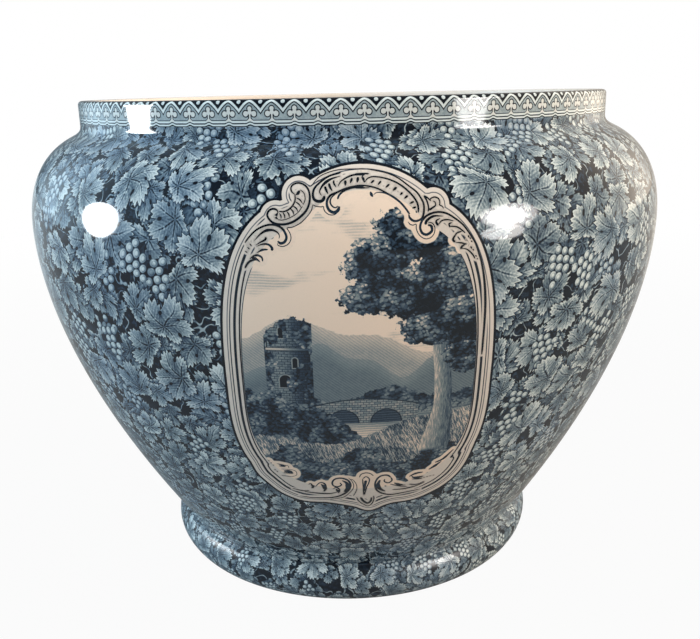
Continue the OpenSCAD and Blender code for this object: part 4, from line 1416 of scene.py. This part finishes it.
def panel_pieces(side, frame_look, picture_look):
    """The frame sheet and the picture sheet of one panel, laid on the pot and given their thickness."""
    profile, turn = profile_now(), -1 if side == "back" else 1
    flat, sheets = panel_sheets()
    for kind, look, slot in (("frame", frame_look, "frame_glaze"), ("picture", picture_look, "picture_glaze")):
        used = sorted({i for tri, _ in sheets[kind] for i in tri})
        x, z = flat[used].T
        y = -np.sqrt(np.maximum(profile.radius(z) ** 2 - x * x, 0))
        bm = bmesh.new()
        layer = bm.faces.layers.float.new("ink")
        made = {i: bm.verts.new((turn * a * MM, turn * b * MM, c * MM)) for i, a, b, c in zip(used, x, y, z)}
        for tri, dark in sheets[kind]:
            face = bm.faces.new([made[i] for i in tri])
            face[layer] = dark
        out = bmesh.ops.extrude_face_region(bm, geom=bm.faces[:])
        for v in (g for g in out["geom"] if isinstance(g, bmesh.types.BMVert)):
            n = profile.normal(np.array([v.co.z / MM]))[0]
            r = math.hypot(v.co.x, v.co.y)
            v.co -= Vector((n[0] * v.co.x / r, n[0] * v.co.y / r, n[1])) * sizes().skin_t
        bmesh.ops.recalc_face_normals(bm, faces=bm.faces[:])
        piece = new_piece(f"{side}_{kind}_sheet", bm, look)
        co = points_of(piece.data) / MM
        at = np.c_[turn * co[:, 0], co[:, 2]]
        put_attribute(piece.data, "edge", depth_in_any(at, frame_shapes()))
        put_attribute(piece.data, "inner", depth_in_any(at, picture_shapes()))
        put_attribute(piece.data, "scroll", from_strokes(at))
        finish_skin(piece, profile, f"{side}_{kind}_print")


class POT_OT_panels(bpy.types.Operator):
    """Draw the scroll frames and the landscapes on the front and the back"""
    bl_idname = "pot.panels"
    bl_label = "Panels"

    def execute(self, context):
        frame_look = frame_material()
        panel_pieces("front", frame_look, picture_material("Front Landscape", 1.0, FRONT_VIEW))
        panel_pieces("back", frame_look, picture_material("Back Landscape", -1.0, BACK_VIEW))
        return {"FINISHED"}


# The windows that the glaze mirrors: the place on the pot that shows each, the way and the distance from there to the
# window, its width and height in metres, its share of the brightness, and its colour
WINDOWS = {
    "window_left": ((-0.119, -0.146, 0.232), (-0.992, 0.056, 0.127), 1.3, (0.44, 0.47), 1.0, (0.93, 0.98, 1)),
    "window_right": ((0.067, -0.176, 0.234), (0.785, -0.566, 0.235), 1.3, (0.34, 0.3), 1.0, (1, 0.98, 0.95)),
    "right_curtain": ((0.067, -0.176, 0.234), (0.8, -0.548, 0.245), 1.4, (0.56, 0.46), 0.45, (1, 0.94, 0.91)),
    "window_right_low": ((0.055, -0.148, 0.277), (0.775, -0.631, 0.015), 1.25, (0.36, 0.2), 0.6, (1, 0.97, 0.94)),
}


def floor_material(setting):
    """A floor that is white to the camera, with the pot's shadow. The glaze mirrors it dimly, less in front than
    behind, and cooler on the left."""
    white = (1.0, 1.0, 1.0)
    material = bpy.data.materials.new("Studio Floor")
    net = empty_net(material)
    where = net.object_place()
    cloud = net.smooth(net.noise(where, 3.0, 2.0), 0.3, 0.7)
    matt = net.node("BsdfDiffuse", {"Color": net.tint(cloud, tuple(setting.floor), scaled(setting.floor, 0.985))})
    ray = net.node("LightPath")
    to_camera = net.out(ray, "Is Camera Ray")
    x, y, _ = net.parts(where)
    cast = net.tint(net.smooth(x, -0.8, 0.8), (0.86, 1.0, 1.08), (1.12, 1.0, 0.86))
    glow = net.node("Emission", {"Color": net.tint(to_camera, cast, white), "Strength": 1.0})
    seen = net.high(to_camera, net.out(ray, "Is Glossy Ray") * net.smooth(y, 0.1, 0.9, 0.1, 0.55))
    seen = net.high(seen, net.out(ray, "Is Transmission Ray"))
    # Near the pot a little of the matt floor shows, with the shadow on it
    seen = seen * net.smooth(net.away(x, y), 0.3, 1.4, 0.955, 1.0)
    mix = net.node("MixShader", {0: seen, 1: net.out(matt), 2: net.out(glow)})
    net.node("OutputMaterial", {0: net.out(mix)})
    return material


def soft_world(setting):
    """Soft light all round, white to the camera, brighter from above and from the sides. The glaze mirrors a room
    that is dim in front and lighter behind."""
    world = bpy.data.worlds.new("Soft Studio")
    net = empty_net(world)
    ray = net.node("LightPath")
    x, y, z = net.parts(net.out(net.node("TexCoord"), "Generated"))
    side = net.smooth(x, -0.8, 0.8)
    soft = net.tint(side, (0.75, 0.98, 1.14), (1.16, 1.0, 0.82))
    level = 0.22 + net.smooth(z, -0.1, 0.9) * 0.55 + net.smooth(net.size(x), 0.5, 1.0) * 4.0 + side * 0.6
    level = level * (1.0 - net.out(ray, "Is Glossy Ray") * (0.88 - net.smooth(y, 0.0, 0.8) * 0.55))
    fill = net.node("Background", {"Color": soft, "Strength": level * setting.ambient})
    white = net.node("Background", {"Color": (1, 1, 1, 1), "Strength": 1.0})
    mix = net.node("MixShader", {0: net.out(ray, "Is Camera Ray"), 1: net.out(fill), 2: net.out(white)})
    net.node("OutputWorld", {0: net.out(mix)})
    return world


def add_window(name, brightness):
    """An oval lamp that shows in the shine alone; the soft light does the rest."""
    spot, way, reach, size, share, hue = WINDOWS[name]
    data = bpy.data.lights.new(name, "AREA")
    data.shape = "ELLIPSE"
    data.size, data.size_y = size
    data.energy = brightness * share * math.pi * math.pi / 4 * size[0] * size[1]
    data.color = hue
    light = add_object(name, data)
    light.location = Vector(spot) + Vector(way).normalized() * reach
    light.rotation_euler = (Vector(spot) - light.location).to_track_quat("-Z", "Y").to_euler()
    light.visible_diffuse = False


class POT_OT_stage(bpy.types.Operator):
    """Set up the floor, the soft light, the windows and the camera"""
    bl_idname = "pot.stage"
    bl_label = "Stage"

    def execute(self, context):
        scene = context.scene
        setting = scene.pot_stage
        scene.view_settings.view_transform = "Standard"

        bm = bmesh.new()
        bmesh.ops.create_grid(bm, x_segments=2, y_segments=2, size=6.0)
        mesh = bpy.data.meshes.new("floor")
        bm.to_mesh(mesh)
        bm.free()
        mesh.materials.append(floor_material(setting))
        floor = add_object("floor", mesh)
        floor.location.z = -0.0002      # just below the foot
        scene.world = soft_world(setting)
        for name in WINDOWS:
            add_window(name, setting.window)

        # The camera stands and looks as the photograph's does, fitted to the pot's outline
        place, pan, tilt, roll = (-0.0149, -0.5241, 0.2887), -1.8, 74.0, -1.33
        data = bpy.data.cameras.new("camera")
        data.sensor_width = 36.0
        data.lens = 41.49
        data.clip_start = 0.01
        camera = add_object("camera", data)
        turn = Matrix.Rotation(math.radians(pan), 4, "Z") @ Matrix.Rotation(math.radians(tilt), 4, "X")
        turn = turn @ Matrix.Rotation(math.radians(roll), 4, "Z")
        camera.matrix_world = Matrix.Translation(place) @ turn
        scene.camera = camera
        return {"FINISHED"}


class POT_PT_panel(bpy.types.Panel):
    """Lists the jardiniere's pieces and their sizes"""
    bl_idname = "POT_PT_panel"
    bl_label = "Jardiniere"
    bl_space_type = "VIEW_3D"
    bl_region_type = "UI"
    bl_category = "Jardiniere"

    def draw(self, context):
        layout = self.layout
        for operator in OPERATORS:
            layout.operator(operator.bl_idname)
        for group in (context.scene.pot_sizes, context.scene.pot_panel, context.scene.pot_colours,
                      context.scene.pot_stage):
            box = layout.box()
            for key in group.bl_rna.properties.keys():
                if key not in ("rna_type", "name"):
                    box.prop(group, key)


OPERATORS = (
    POT_OT_effects, POT_OT_clay, POT_OT_inner_glaze, POT_OT_foot, POT_OT_vine, POT_OT_border, POT_OT_panels,
    POT_OT_stage,
)
CLASSES = (PotSizes, PanelSizes, GlazeColours, StageSettings) + OPERATORS + (POT_PT_panel,)


def register():
    for cls in CLASSES:
        bpy.utils.register_class(cls)
    bpy.types.Scene.pot_sizes = PointerProperty(type=PotSizes)
    bpy.types.Scene.pot_panel = PointerProperty(type=PanelSizes)
    bpy.types.Scene.pot_colours = PointerProperty(type=GlazeColours)
    bpy.types.Scene.pot_stage = PointerProperty(type=StageSettings)


def unregister():
    for name in ("pot_sizes", "pot_panel", "pot_colours", "pot_stage"):
        delattr(bpy.types.Scene, name)
    for cls in reversed(CLASSES):
        bpy.utils.unregister_class(cls)


def main():
    register()
    bpy.ops.pot.effects()
    bpy.ops.pot.clay()
    bpy.ops.pot.inner_glaze()
    bpy.ops.pot.foot()
    bpy.ops.pot.vine()
    bpy.ops.pot.border()
    bpy.ops.pot.panels()
    bpy.ops.pot.stage()


if __name__ == "__main__":
    main()
